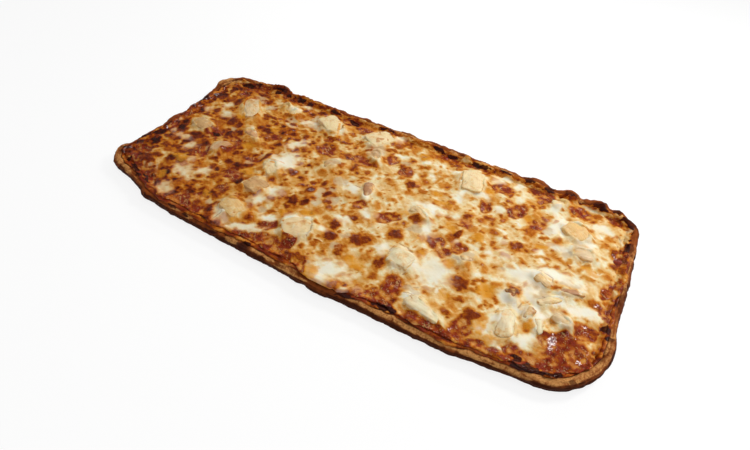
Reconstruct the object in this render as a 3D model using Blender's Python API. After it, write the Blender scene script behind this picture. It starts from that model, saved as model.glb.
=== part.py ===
"""Bbq chicken flatbread: a long baked crust with a raised rim, a layer of sauce on its
floor, a sheet of melted cheese over the sauce, and diced and torn chicken in the cheese.

Units are metres, +Z is up and +X runs along the flatbread. The origin is on the surface
that the crust lies on, at the middle of the outline. Places are given in millimetres and
multiplied by MM.
"""
import math

import bmesh
import bpy
from mathutils import Matrix, Vector, noise

MM = 0.001

# Whole flatbread
LENGTH = 305 * MM
WIDTH = 143.5 * MM

# Crust: heights above the underside
FLOOR_HEIGHT = 5.5 * MM
RIM_HEIGHT = 9.6 * MM
BACK_RIM_RISE = 1.4 * MM
FRONT_RIM_DROP = 1.4 * MM
RIM_WAVE = 0.5 * MM

# Pitches of the uneven waves along the rim, in the layers' edges and in the cheese
RIM_PITCH = 14 * MM
EDGE_PITCH = 11 * MM
LUMP_PITCH = 13 * MM

# Layers on the floor of the crust
GAP = 0.3 * MM
SAUCE_THICKNESS = 0.9 * MM
SAUCE_EDGE_THICKNESS = 0.5 * MM
CHEESE_THICKNESS = 1.9 * MM
CHEESE_LUMP = 1.0 * MM
CHEESE_SWELL = 1.1 * MM
CHEESE_EDGE_THICKNESS = 0.8 * MM
CHEESE_EDGE_LUMP_SHARE = 0.7
SWELL_REACH_SHARE = 0.62
FINE_LUMP_SHARE = 0.6
SAUCE_SLOPE_CLEARANCE = 0.4 * MM
CHEESE_SLOPE_CLEARANCE = 0.6 * MM

# Chicken
CHICKEN_GAP = 0.35 * MM
POCKET_GAP = 0.45 * MM
POCKET_TOP = 25 * MM
POCKET_BLUNT = math.radians(4)
CHICKEN_SEED = 1796087946

# Cells of the cheese along and across, which also set the points round the outline
CELLS_ALONG = 42
CELLS_ACROSS = 18
OUTLINE_POINTS = 2 * (CELLS_ALONG + CELLS_ACROSS)
CORNER_STEPS = 8

# Corners of the outline, anticlockwise from the front left: x, y, radius in millimetres
OUTLINE_CORNERS = (
    (-152.5, -53, 15),
    (-124.5, -59, 60),
    (-98.5, -67.5, 90),
    (6.5, -70.5, 400),
    (60, -69.5, 150),
    (87.5, -69, 10),
    (95.5, -67, 14),
    (136.5, -62.5, 30),
    (151, -44, 26),
    (151.5, 18.5, 300),
    (150, 60, 12),
    (137, 67, 14),
    (20.5, 69.5, 500),
    (-57.5, 69, 300),
    (-112.5, 71.5, 60),
    (-142, 65.5, 22),
    (-152, 51, 12),
    (-146, 7.5, 160),
)

# Blistered knobs and dents of the rim: x, y, outward, upward, half width in millimetres
RIM_KNOBS = (
    (86.5, 68, 3, 1.2, 6),
    (98.5, 67.5, 1.3, -1.2, 4.5),
    (107.5, 68, 3, 2, 4.5),
    (124, 68, 2.1, 2.4, 6),
    (136, 66, 1.7, 1, 4),
    (17, 68, 0.8, 0.5, 6),
    (-98.5, 71, -1.1, -0.9, 6),
    (-107.5, 70.5, 0.6, 1.6, 7),
    (-151, 49.5, 0.9, 1.4, 5),
    (-150.5, -43, 0.1, 1.6, 5),
    (-147.5, -1, 2.5, 0.6, 6),
    (151.5, -30.5, 1.6, 0.8, 10),
    (139, -60, 0.1, 0.8, 14),
    (-143.5, 60, 0.2, 1, 12),
    (66, 69, 1.6, 0.3, 5),
    (38.5, 69.5, 1.4, 0.3, 5),
    (-3, 69.5, 1.4, 0.3, 5),
    (-107.5, -64.5, 1.8, 0, 4),
    (16, -71, 1.5, 0, 6),
    (52, 69, 1.3, -0.2, 4),
    (-85.5, 70, -0.6, -0.2, 6),
)

# Cross-section of the crust: distance in from the outline in millimetres, share of the
# rim's height, and share of a knob's outward reach; row WIDEST is the outline itself
CRUST_SIDE = (
    (5.2, 0.0, 0.0),
    (1.7, 0.16, 0.5),
    (0.0, 0.46, 1.0),
    (0.3, 0.76, 1.0),
    (1.8, 1.0, 0.7),
    (4.6, 0.95, 0.2),
)
RIM_WIDTH = 7.6
WIDEST = 2
SLOPE_INSETS = (CRUST_SIDE[4][0], CRUST_SIDE[5][0], RIM_WIDTH)
INSET_STEP = 0.5
LEAST_INSET = 1.6

# Edge of the sauce, as a distance in from the outline, and where it keeps further in
# (more) or runs out over the rim (less): x, y, millimetres more, half width
SAUCE_INSET = 3.4
SAUCE_WAVE = 0.8
SAUCE_EDGE_SPOTS = (
    (145, -56, 1.5, 22),
    (117, -67, 1, 16),
    (50, -70, 1, 45),
    (-142.5, -50, 1.5, 18),
    (-117, -63, 1, 14),
    (-144.5, 54.5, 2.5, 20),
    (-146.5, 19, 0.5, 30),
    (-43.5, 66, 1, 22),
    (20.5, 68, 1, 40),
    (107.5, 67, 1, 30),
    (147, 60, 1.5, 16),
)

# Edge of the cheese in the same way, with lobes between the spots
CHEESE_INSET = 4.8
CHEESE_WAVE = 1.6
CHEESE_MARGIN = 1.2
CHEESE_EDGE_SPOTS = (
    (145, -56, 2.2, 24),
    (127, -62, 1.5, 18),
    (89.5, -68, 1, 16),
    (47.5, -68, 2.5, 14),
    (17, -71, -3.6, 13),
    (-18.5, -71, 3, 22),
    (-81.5, -69, 3, 18),
    (-137, -57, 3, 20),
    (-144.5, 54.5, 3, 22),
    (-146.5, 19, -0.5, 30),
    (-76, 66, -1, 12),
    (-40.5, 66, 1.5, 16),
    (22.5, 68, 1.5, 26),
    (94.5, 67, 1.5, 26),
    (148.5, -20.5, 0.5, 20),
    (148.5, 19, -1, 18),
)

# Chicken: x, y, length, width, height in millimetres, turn in degrees, form
CHICKEN_PIECES = (
    (-109.5, 35, 25.5, 12.5, 5.2, -50, "dice"),
    (-51.5, 48.5, 21.5, 14.5, 5.6, -30, "dice"),
    (-123.5, 2.5, 16.5, 11, 4.6, -15, "dice"),
    (-89, 11, 14, 6.5, 4.6, -28, "wedge"),
    (-98, -9.5, 13.5, 8, 4.2, 72, "dice"),
    (-90, 50.5, 7, 5.5, 4.2, -40, "dice"),
    (-82, 46.5, 7.5, 4.5, 4.4, -60, "dice"),
    (-58.5, -9.5, 13.5, 9, 4.2, -42, "dice"),
    (-55.5, -28, 14.5, 13, 5.4, -10, "dice"),
    (-54.5, -49.5, 15.5, 12, 5.4, -24, "dice"),
    (-16, 52, 19.5, 17, 5.4, 62, "dice"),
    (-10, 35, 13, 9.5, 4.4, -56, "wedge"),
    (-28.5, 13.5, 12.5, 8, 4.6, 28, "wedge"),
    (2, 3.5, 15, 6.5, 5.2, -76, "wedge"),
    (37, 2.5, 15, 6, 4.6, -24, "shred"),
    (52, 45, 20.5, 16.5, 5.8, -76, "dice"),
    (-15, -43, 18.5, 16.5, 4.9, 36, "dice"),
    (43.5, -34, 13.5, 12.5, 5.8, -8, "dice"),
    (66, -56.5, 21.5, 8.5, 5, -14, "wedge"),
    (73, -15.5, 9, 5.5, 4.8, 30, "wedge"),
    (118, 35, 16, 13.5, 5.6, -38, "dice"),
    (124.5, 20.5, 12, 9, 5, 10, "dice"),
    (103.5, 54, 9.5, 6, 4.6, 20, "dice"),
    (103.5, -43.5, 17.5, 9.5, 5.8, 98, "egg"),
    (100.5, -25.5, 8.5, 6.5, 5.2, -64, "wedge"),
    (110.5, -33, 10, 5, 5.2, -104, "wedge"),
    (111, -9, 11, 6.5, 5.2, -26, "wedge"),
    (125.5, -9, 14.5, 5, 5.2, 21, "shred"),
    (117.5, -20, 15, 5, 5.4, 43, "shred"),
    (126, -28, 10.5, 6.5, 4.8, -8, "dice"),
    (117.5, -37, 10, 4.6, 4.8, -72, "shred"),
)
# Form: how far each section narrows to its end, how square it is, and how far it bends
CHICKEN_FORMS = {
    "dice": (0.16, 0.80, 0.0),
    "wedge": (0.55, 0.74, 0.06),
    "shred": (0.34, 0.64, 0.16),
    "egg": (0.30, 0.66, 0.0),
}
# The pieces are made as blocks from -1 to 1: size of the ball that rounds them, and size,
# fineness and step of their unevenness
BALL_RADIUS = 1.3
CHICKEN_ROUGHNESS = 0.16
ROUGHNESS_FINENESS = 1.1
ROUGHNESS_STEP = 7.3
HEIGHT_TAPER_SHARE = 0.35
SMALL_CHICKEN = 9.5 * MM
CHICKEN_TILT = 0.12

# Colours from the food: red, green, blue, then roughness
FINISHES = {
    "crust": ((0.46, 0.24, 0.08), 0.8),
    "bbq_sauce": ((0.24, 0.05, 0.015), 0.3),
    "cheese": ((0.80, 0.60, 0.30), 0.38),
    "chicken": ((0.72, 0.56, 0.34), 0.55),
}


def clear_scene():
    for item in list(bpy.data.objects):
        bpy.data.objects.remove(item, do_unlink=True)


def make_collection(name):
    group = bpy.data.collections.new(name)
    bpy.context.scene.collection.children.link(group)
    return group


def make_material(name, finish):
    colour, roughness = FINISHES[finish]
    material = bpy.data.materials.new(name)
    material.use_nodes = True
    shader = material.node_tree.nodes["Principled BSDF"]
    shader.inputs["Base Color"].default_value = (*colour, 1.0)
    shader.inputs["Roughness"].default_value = roughness
    shader.inputs["Metallic"].default_value = 0.0
    return material


def add_object(name, bm, group, finish):
    """Turn a closed bmesh into a named object with its own material."""
    bmesh.ops.triangulate(bm, faces=bm.faces, quad_method="SHORT_EDGE")
    bmesh.ops.recalc_face_normals(bm, faces=bm.faces)
    mesh = bpy.data.meshes.new(name)
    bm.to_mesh(mesh)
    bm.free()
    item = bpy.data.objects.new(name, mesh)
    mesh.materials.append(make_material(name, finish))
    group.objects.link(item)
    return item


def round_corner(before, corner, after, radius):
    """Points of the arc that rounds one corner of the outline."""
    back = (before - corner).normalized()
    ahead = (after - corner).normalized()
    half_turn = (math.pi - back.angle(ahead)) / 2
    longest = 0.5 * min((before - corner).length, (after - corner).length)
    reach = min(radius * math.tan(half_turn), longest)
    start = corner + back * reach
    end = corner + ahead * reach
    points = []
    for step in range(CORNER_STEPS + 1):
        share = step / CORNER_STEPS
        first = start.lerp(corner, share)
        second = corner.lerp(end, share)
        points.append(first.lerp(second, share))
    return points


def spread_along(path, count):
    """Points at even steps along a closed path."""
    ends = path[1:] + path[:1]
    lengths = [(end - start).length for start, end in zip(path, ends)]
    spacing = sum(lengths) / count
    points = []
    passed = 0.0
    for start, end, length in zip(path, ends, lengths):
        while len(points) < count and len(points) * spacing < passed + length:
            points.append(start.lerp(end, (len(points) * spacing - passed) / length))
        passed += length
    return points


def smooth_outline():
    """The flatbread's outline from above, without its knobs."""
    corners = [Vector((x, y)) * MM for x, y, _radius in OUTLINE_CORNERS]
    path = []
    for i, (_x, _y, radius) in enumerate(OUTLINE_CORNERS):
        following = corners[(i + 1) % len(corners)]
        path += round_corner(corners[i - 1], corners[i], following, radius * MM)
    return spread_along(path, OUTLINE_POINTS)


def outward_normals(points):
    normals = []
    for i, _point in enumerate(points):
        along = points[(i + 1) % len(points)] - points[i - 1]
        normals.append(Vector((along.y, -along.x)).normalized())
    return normals


def bell(point, x, y, width):
    """1 at the given place, falling smoothly to 0 past the given width."""
    distance = (point - Vector((x, y)) * MM).length
    return math.exp(-((distance / (width * MM)) ** 2))


def ripple(point, pitch, seed):
    """Smooth uneven wave from -1 to 1 with the given pitch."""
    return noise.noise(Vector((point.x / pitch, point.y / pitch, seed)))


class Outline:
    """The outline with what varies along it: normals, knobs and layer edges."""

    def __init__(self):
        self.points = smooth_outline()
        self.normals = outward_normals(self.points)
        self.reach = [self.knob(point, 2) for point in self.points]
        self.rise = [self.knob(point, 3) for point in self.points]
        self.fit()
        self.rim = [
            RIM_HEIGHT
            + BACK_RIM_RISE * max(0.0, point.y) / (WIDTH / 2)
            - FRONT_RIM_DROP * max(0.0, -point.y) / (WIDTH / 2)
            + RIM_WAVE * ripple(point, RIM_PITCH, 3.0)
            + rise
            for point, rise in zip(self.points, self.rise)
        ]
        self.sauce_edge = self.edge(SAUCE_INSET, SAUCE_WAVE, 5.0, SAUCE_EDGE_SPOTS)
        self.cheese_edge = self.edge(CHEESE_INSET, CHEESE_WAVE, 9.0, CHEESE_EDGE_SPOTS)

    def knob(self, point, column):
        return sum(knob[column] * MM * bell(point, knob[0], knob[1], knob[4]) for knob in RIM_KNOBS)

    def fit(self):
        """Scale and centre the outline so that the knobs touch LENGTH and WIDTH."""
        outer = [p + n * r for p, n, r in zip(self.points, self.normals, self.reach)]
        low = Vector((min(p.x for p in outer), min(p.y for p in outer)))
        high = Vector((max(p.x for p in outer), max(p.y for p in outer)))
        middle = (low + high) / 2
        for i, point in enumerate(self.points):
            moved = outer[i] - middle
            moved = Vector((moved.x * LENGTH / (high.x - low.x), moved.y * WIDTH / (high.y - low.y)))
            self.points[i] = moved - self.normals[i] * self.reach[i]

    def edge(self, inset, wave, seed, spots):
        """Distances in from the outline, in millimetres, at which a layer ends."""
        reach = []
        for point in self.points:
            more = sum(spot[2] * bell(point, spot[0], spot[1], spot[3]) for spot in spots)
            reach.append(max(LEAST_INSET, inset + wave * ripple(point, EDGE_PITCH, seed) + more))
        count = len(reach)
        return [
            (reach[i - 1] + 2 * reach[i] + reach[(i + 1) % count]) / 4 for i in range(count)
        ]

    def inward(self, i, inset, knob_share=0.0):
        """Plan position of outline point i moved in by a distance in millimetres."""
        return self.points[i] + self.normals[i] * (self.reach[i] * knob_share - inset * MM)

    def crust_top(self, i, inset):
        """Height of the crust's upper side at a distance in from outline point i."""
        upper = CRUST_SIDE[WIDEST:]
        places = [row[0] for row in upper] + [RIM_WIDTH]
        heights = [self.rim[i] * row[1] for row in upper] + [FLOOR_HEIGHT]
        for k in range(len(places) - 1):
            if inset <= places[k + 1]:
                share = (inset - places[k]) / (places[k + 1] - places[k])
                return heights[k] + (heights[k + 1] - heights[k]) * max(0.0, share)
        return FLOOR_HEIGHT

    def ground(self, plan):
        """Height of the sauce under a place, taken square in from the nearest outline point."""
        nearest = min(range(len(self.points)), key=lambda i: (self.points[i] - plan).length_squared)
        inset = (self.points[nearest] - plan).dot(self.normals[nearest]) / MM
        return self.crust_top(nearest, inset) + GAP + SAUCE_THICKNESS


def ring_of_circle(bm, points):
    """A first closed loop of vertices, made from a circle and set on the points."""
    made = bmesh.ops.create_circle(bm, segments=len(points), radius=1.0)
    for vertex, point in zip(made["verts"], points):
        vertex.co = point
    return made["verts"]


def loop_edges(bm, loop):
    return [bm.edges.get((loop[i - 1], loop[i])) for i in range(len(loop))]


def grow(bm, loop, points):
    """Extrude a closed loop of vertices to a new loop set on the points."""
    made = bmesh.ops.extrude_edge_only(bm, edges=loop_edges(bm, loop))["geom"]
    fresh = {tuple(item.co): item for item in made if isinstance(item, bmesh.types.BMVert)}
    grown = [fresh[tuple(vertex.co)] for vertex in loop]
    for vertex, point in zip(grown, points):
        vertex.co = point
    return grown


def fill(bm, loop):
    bmesh.ops.triangle_fill(bm, use_beauty=True, use_dissolve=False, edges=loop_edges(bm, loop))


def raised(plan, height):
    return Vector((plan.x, plan.y, height))


def build_crust(outline, group):
    """The baked base: flat underside, bulging side, raised rim and flat floor."""
    bm = bmesh.new()
    rings = []
    for inset, share, knob_share in CRUST_SIDE:
        rings.append([
            raised(outline.inward(i, inset, knob_share), outline.rim[i] * share)
            for i in range(OUTLINE_POINTS)
        ])
    rings.append([raised(outline.inward(i, RIM_WIDTH), FLOOR_HEIGHT) for i in range(OUTLINE_POINTS)])
    loop = ring_of_circle(bm, rings[0])
    fill(bm, loop)
    for ring in rings[1:]:
        loop = grow(bm, loop, ring)
    fill(bm, loop)
    return add_object("crust", bm, group, "crust")


def layer_insets(edge):
    """Distances in from the outline of a layer's rings: its edge and the rim's bends."""
    insets = [edge]
    for k, bend in enumerate(SLOPE_INSETS):
        insets.append(max(bend, edge + (k + 1) * INSET_STEP))
    return insets


def layer_rings(outline, edges, lift, thickness, edge_thickness, slope_clearance):
    """Under and upper rings of a layer that lies on the crust, from its edge inwards."""
    under = []
    upper = []
    for k in range(len(SLOPE_INSETS) + 1):
        low_ring = []
        high_ring = []
        for i in range(OUTLINE_POINTS):
            inset = layer_insets(edges[i])[k]
            share = k / len(SLOPE_INSETS)
            plan = outline.inward(i, inset)
            base = outline.crust_top(i, inset) + lift + slope_clearance * (1 - share)
            depth = edge_thickness + (thickness - edge_thickness) * share
            low_ring.append(raised(plan, base))
            high_ring.append(raised(plan, base + depth))
        under.append(low_ring)
        upper.append(high_ring)
    return under, upper


def build_sauce(outline, group):
    """A thin layer over the floor that runs up the inner slope of the rim."""
    bm = bmesh.new()
    under, upper = layer_rings(
        outline, outline.sauce_edge, GAP,
        SAUCE_THICKNESS, SAUCE_EDGE_THICKNESS, SAUCE_SLOPE_CLEARANCE,
    )
    loop = ring_of_circle(bm, under[-1])
    fill(bm, loop)
    for ring in under[-2::-1] + upper:
        loop = grow(bm, loop, ring)
    fill(bm, loop)
    return add_object("bbq_sauce", bm, group, "bbq_sauce")


def cheese_depth(plan):
    """Thickness of the cheese away from its edge: lumps, and swells round the chicken."""
    lumps = ripple(plan, LUMP_PITCH, 1.5) + FINE_LUMP_SHARE * ripple(plan, LUMP_PITCH / 2, 7.5)
    swell = max(
        bell(plan, x, y, SWELL_REACH_SHARE * length) for x, y, length, *_rest in CHICKEN_PIECES
    )
    return CHEESE_THICKNESS + CHEESE_LUMP * lumps + CHEESE_SWELL * swell


def patch_point(ring, across, up):
    """Point of the smooth patch that spans a closed ring, for shares 0 to 1."""
    def ring_at(place):
        low = math.floor(place)
        return ring[low % len(ring)].lerp(ring[(low + 1) % len(ring)], place - low)

    front_end, right_end = CELLS_ALONG, CELLS_ALONG + CELLS_ACROSS
    back_end = right_end + CELLS_ALONG
    front = ring_at(across * CELLS_ALONG)
    right = ring_at(front_end + up * CELLS_ACROSS)
    back = ring_at(back_end - across * CELLS_ALONG)
    left = ring_at(OUTLINE_POINTS - up * CELLS_ACROSS)
    ruled = front.lerp(back, up) + left.lerp(right, across)
    near = ring[0].lerp(ring[front_end], across)
    far = ring[back_end].lerp(ring[right_end], across)
    return ruled - near.lerp(far, up)


def ring_index(across, up):
    """Place round the ring of a border vertex of the patch."""
    column = round(across * CELLS_ALONG)
    row = round(up * CELLS_ACROSS)
    if row == 0:
        return column
    if column == CELLS_ALONG:
        return CELLS_ALONG + row
    if row == CELLS_ACROSS:
        return 2 * CELLS_ALONG + CELLS_ACROSS - column
    if column == 0:
        return OUTLINE_POINTS - row
    return None


def build_cheese(outline, group):
    """The melted sheet: a lumpy patch, its border down the slope, and a plain underside."""
    bm = bmesh.new()
    edges = [
        max(cheese, sauce + CHEESE_MARGIN) if cheese > SAUCE_INSET else cheese
        for cheese, sauce in zip(outline.cheese_edge, outline.sauce_edge)
    ]
    lift = GAP + SAUCE_THICKNESS + GAP
    under, upper = layer_rings(
        outline, edges, lift,
        CHEESE_THICKNESS, CHEESE_EDGE_THICKNESS, CHEESE_SLOPE_CLEARANCE,
    )
    for ring in upper[1:]:
        for i, point in enumerate(ring):
            extra = cheese_depth(point.xy) - CHEESE_THICKNESS
            ring[i] = raised(point.xy, point.z + extra * CHEESE_EDGE_LUMP_SHARE)

    bmesh.ops.create_grid(bm, x_segments=CELLS_ALONG, y_segments=CELLS_ACROSS, size=1.0)
    loop = [None] * OUTLINE_POINTS
    base = FLOOR_HEIGHT + lift
    for vertex in bm.verts:
        across = (vertex.co.x + 1) / 2
        up = (vertex.co.y + 1) / 2
        place = ring_index(across, up)
        if place is None:
            plan = patch_point(upper[-1], across, up).xy
            vertex.co = raised(plan, base + cheese_depth(plan))
        else:
            vertex.co = upper[-1][place]
            loop[place] = vertex
    for ring in upper[-2::-1] + under:
        loop = grow(bm, loop, ring)
    fill(bm, loop)
    return add_object("cheese", bm, group, "cheese")


def chicken_mesh(number, size, turn, form):
    """One irregular piece on its own origin: a rounded block, narrowed and bent."""
    taper, squareness, bend = CHICKEN_FORMS[form]
    cuts = 2 if size.x > SMALL_CHICKEN else 1
    bm = bmesh.new()
    bmesh.ops.create_cube(bm, size=2.0)
    bmesh.ops.subdivide_edges(bm, edges=bm.edges, cuts=cuts, use_grid_fill=True)
    slope = Vector((math.sin(number * 2.1), math.cos(number * 1.7))) * CHICKEN_TILT
    for vertex in bm.verts:
        soft = (vertex.co.normalized() * BALL_RADIUS).lerp(vertex.co, squareness)
        end = (soft.x + 1) / 2
        place = soft * ROUGHNESS_FINENESS + Vector((number * ROUGHNESS_STEP, 0.0, 0.0))
        wobble = noise.noise_vector(place)
        soft.y = soft.y * (1 - taper * end) + bend * (1 - soft.x * soft.x)
        soft.z = soft.z * (1 - HEIGHT_TAPER_SHARE * taper * end) + slope.x * soft.x + slope.y * soft.y
        vertex.co = soft + wobble * CHICKEN_ROUGHNESS
    low = Vector([min(vertex.co[axis] for vertex in bm.verts) for axis in range(3)])
    high = Vector([max(vertex.co[axis] for vertex in bm.verts) for axis in range(3)])
    for vertex in bm.verts:
        for axis in range(3):
            share = (vertex.co[axis] - low[axis]) / (high[axis] - low[axis])
            vertex.co[axis] = (share - 0.5) * size[axis]
    bmesh.ops.rotate(bm, matrix=Matrix.Rotation(math.radians(turn), 3, "Z"), verts=bm.verts)
    return bm


def build_chicken(outline, group):
    """Every piece of chicken, lying on the sauce with a small gap under it."""
    noise.seed_set(CHICKEN_SEED)
    pieces = []
    for number, (x, y, length, width, height, turn, form) in enumerate(CHICKEN_PIECES, 1):
        bm = chicken_mesh(number, Vector((length, width, height)) * MM, turn, form)
        place = Vector((x * MM, y * MM, 0.0))
        bmesh.ops.translate(bm, vec=place, verts=bm.verts)
        lift = max(outline.ground(vertex.co.xy) - vertex.co.z for vertex in bm.verts) + CHICKEN_GAP
        bmesh.ops.translate(bm, vec=Vector((0.0, 0.0, lift)), verts=bm.verts)
        pieces.append(add_object(f"chicken_{number:02d}", bm, group, "chicken"))
    return pieces


def make_pocket_cutter(piece, group):
    """An upright block that follows the outline of a piece from above, a little larger."""
    bm = bmesh.new()
    bm.from_mesh(piece.data)
    middle = sum((vertex.co for vertex in bm.verts), Vector()) / len(bm.verts)
    places = []
    for vertex in bm.verts:
        away = (vertex.co - middle).xy
        places.append(vertex.co.xy + away.normalized() * POCKET_GAP)
    bm.clear()
    for height in (0.0, POCKET_TOP):
        for place in places:
            bm.verts.new(raised(place, height))
    hull = bmesh.ops.convex_hull(bm, input=bm.verts)
    inside = [item for item in hull["geom_interior"] if isinstance(item, bmesh.types.BMVert)]
    bmesh.ops.delete(bm, geom=inside, context="VERTS")
    bmesh.ops.dissolve_limit(bm, angle_limit=POCKET_BLUNT, verts=bm.verts, edges=bm.edges)
    mesh = bpy.data.meshes.new(f"pocket_{piece.name}")
    bm.to_mesh(mesh)
    bm.free()
    cutter = bpy.data.objects.new(mesh.name, mesh)
    cutter.hide_render = True
    cutter.display_type = "WIRE"
    group.objects.link(cutter)
    return cutter


def cut_pockets(cheese, pieces, group):
    """Open the cheese round every piece of chicken."""
    for piece in pieces:
        make_pocket_cutter(piece, group)
    pockets = cheese.modifiers.new("pockets", "BOOLEAN")
    pockets.operation = "DIFFERENCE"
    pockets.operand_type = "COLLECTION"
    pockets.collection = group
    pockets.solver = "EXACT"


def main():
    clear_scene()
    parts = make_collection("bbq_chicken_flatbread")
    cutters = make_collection("pocket_cutters")
    outline = Outline()
    build_crust(outline, parts)
    build_sauce(outline, parts)
    cheese = build_cheese(outline, parts)
    pieces = build_chicken(outline, parts)
    cut_pockets(cheese, pieces, cutters)


main()
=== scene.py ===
"""Looks of the bbq chicken flatbread: baked crust, sauce, melted cheese and chicken.

The frame is in metres. Places and sizes here are in millimetres, with +X along the
flatbread and +Z up, and are multiplied by MM when a mesh is made. Spots on the food are
placed on the level of the cheese, as seen along the line to the camera.
"""

import math

import bmesh
import bpy
import numpy as np
from mathutils import Matrix, Vector, noise
from mathutils.kdtree import KDTree


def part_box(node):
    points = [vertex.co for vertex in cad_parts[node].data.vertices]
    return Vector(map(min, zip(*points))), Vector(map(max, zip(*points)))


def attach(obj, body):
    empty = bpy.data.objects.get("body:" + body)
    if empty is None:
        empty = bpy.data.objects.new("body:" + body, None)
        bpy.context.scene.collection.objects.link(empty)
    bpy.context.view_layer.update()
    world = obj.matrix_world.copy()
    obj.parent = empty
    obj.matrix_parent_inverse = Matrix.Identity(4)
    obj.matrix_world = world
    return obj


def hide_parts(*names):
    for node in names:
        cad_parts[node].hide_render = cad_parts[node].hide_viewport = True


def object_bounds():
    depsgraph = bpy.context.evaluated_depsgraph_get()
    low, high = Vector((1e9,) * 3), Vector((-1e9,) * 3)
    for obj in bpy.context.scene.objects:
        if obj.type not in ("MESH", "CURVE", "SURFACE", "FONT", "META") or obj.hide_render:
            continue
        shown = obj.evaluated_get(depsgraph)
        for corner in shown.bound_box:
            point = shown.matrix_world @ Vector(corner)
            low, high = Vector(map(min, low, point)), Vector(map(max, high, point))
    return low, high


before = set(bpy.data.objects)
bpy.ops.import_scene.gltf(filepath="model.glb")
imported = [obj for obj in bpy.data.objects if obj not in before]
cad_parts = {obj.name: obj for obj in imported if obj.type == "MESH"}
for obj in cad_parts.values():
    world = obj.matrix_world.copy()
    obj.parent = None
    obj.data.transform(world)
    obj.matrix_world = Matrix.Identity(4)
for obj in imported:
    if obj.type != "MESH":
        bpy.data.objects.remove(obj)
CAD_LOW, CAD_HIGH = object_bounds()

MM = 0.001

# Whole flatbread, from the frame
LENGTH = (CAD_HIGH.x - CAD_LOW.x) / MM
WIDTH = (CAD_HIGH.y - CAD_LOW.y) / MM

# Crust, layers and chicken, as in the part
FLOOR_HEIGHT = 5.5
RIM_HEIGHT = 9.6
BACK_RIM_RISE = 1.4
FRONT_RIM_DROP = 1.4
RIM_WAVE = 0.5
RIM_PITCH = 14
EDGE_PITCH = 11
LUMP_PITCH = 13
GAP = 0.3
SAUCE_THICKNESS = 0.9
CHEESE_THICKNESS = 1.9
CHEESE_LUMP = 1.0
CHEESE_SWELL = 1.1
SWELL_REACH_SHARE = 0.62
FINE_LUMP_SHARE = 0.6
BALL_RADIUS = 1.3
CHICKEN_SEED = 1796087946
CHICKEN_ROUGHNESS = 0.16
ROUGHNESS_FINENESS = 1.1
ROUGHNESS_STEP = 7.3
HEIGHT_TAPER_SHARE = 0.35
CHICKEN_TILT = 0.12

# Cells of the cheese along and across, which also set the points round the outline
CELLS_ALONG = 420
CELLS_ACROSS = 180
OUTLINE_POINTS = 2 * (CELLS_ALONG + CELLS_ACROSS)
NORMAL_SPAN = 10

# Corners of the outline, anticlockwise from the front left: x, y, radius
OUTLINE_CORNERS = (
    (-152.5, -53, 15), (-124.5, -59, 60), (-98.5, -67.5, 90), (6.5, -70.5, 400), (60, -69.5, 150),
    (87.5, -69, 10), (95.5, -67, 14), (136.5, -62.5, 30), (151, -44, 26), (151.5, 18.5, 300),
    (150, 60, 12), (137, 67, 14), (20.5, 69.5, 500), (-57.5, 69, 300), (-112.5, 71.5, 60),
    (-142, 65.5, 22), (-152, 51, 12), (-146, 7.5, 160),
)

# Blistered knobs and dents of the rim: x, y, outward, upward, half width
RIM_KNOBS = (
    (86.5, 68, 3, 1.2, 6), (98.5, 67.5, 1.3, -1.2, 4.5), (107.5, 68, 3, 2, 4.5),
    (124, 68, 2.1, 2.4, 6), (136, 66, 1.7, 1, 4), (17, 68, 0.8, 0.5, 6),
    (-98.5, 71, -1.1, -0.9, 6), (-107.5, 70.5, 0.6, 1.6, 7), (-151, 49.5, 0.9, 1.4, 5),
    (-150.5, -43, 0.1, 1.6, 5), (-147.5, -1, 2.5, 0.6, 6), (151.5, -30.5, 1.6, 0.8, 10),
    (139, -60, 0.1, 0.8, 14), (-143.5, 60, 0.2, 1, 12), (66, 69, 1.6, 0.3, 5),
    (38.5, 69.5, 1.4, 0.3, 5), (-3, 69.5, 1.4, 0.3, 5), (-107.5, -64.5, 1.8, 0, 4),
    (16, -71, 1.5, 0, 6), (52, 69, 1.3, -0.2, 4), (-85.5, 70, -0.6, -0.2, 6),
)

# Cross-section of the crust: distance in from the outline, share of the rim's height, and
# share of a knob's outward reach
CRUST_SIDE = (
    (5.2, 0.0, 0.0), (1.7, 0.16, 0.5), (0.0, 0.46, 1.0),
    (0.3, 0.76, 1.0), (1.8, 1.0, 0.7), (4.6, 0.95, 0.2),
)
WIDEST = 2
RIM_WIDTH = 7.6
LEAST_INSET = 1.6

# Edges of the layers, as distances in from the outline, and where they keep further in
# (more) or run out over the rim (less): x, y, more, half width
SAUCE_INSET = 3.4
SAUCE_EDGE_SPOTS = (
    (145, -56, 1.5, 22), (112, -66, -1, 20), (80, -69, -0.9, 12), (55, -70, 1, 10),
    (32, -70, -1.2, 9), (-60, -70, -1, 16), (-95, -68, -1.2, 20), (-142.5, -50, 2.4, 14),
    (-144.5, 54.5, 2.5, 20), (-146.5, 19, 0.5, 30), (-43.5, 66, 1, 22), (20.5, 68, 1, 40),
    (107.5, 67, 1, 30), (147, 60, 1.5, 16),
)
CHEESE_INSET = 4.8
CHEESE_EDGE_SPOTS = (
    (145, -56, 0.6, 24), (127, -62, -1.2, 18), (89.5, -68, -1.6, 16), (47.5, -68, 0.8, 14),
    (70, -69, -1, 10), (17, -71, -3.6, 13), (-18.5, -71, 1.6, 22), (-81.5, -69, 0.4, 18),
    (-55, -70, -1.5, 8), (-103, -66, -1.5, 12), (-139, -54, 3.4, 20), (-144.5, 54.5, 3, 22),
    (-146.5, 19, -0.5, 30), (-76, 66, -1, 12), (-40.5, 66, 1.5, 16), (22.5, 68, 1.5, 26),
    (94.5, 67, 1.5, 26), (148.5, -20.5, 0.5, 20), (148.5, 19, -1, 18),
)

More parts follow.
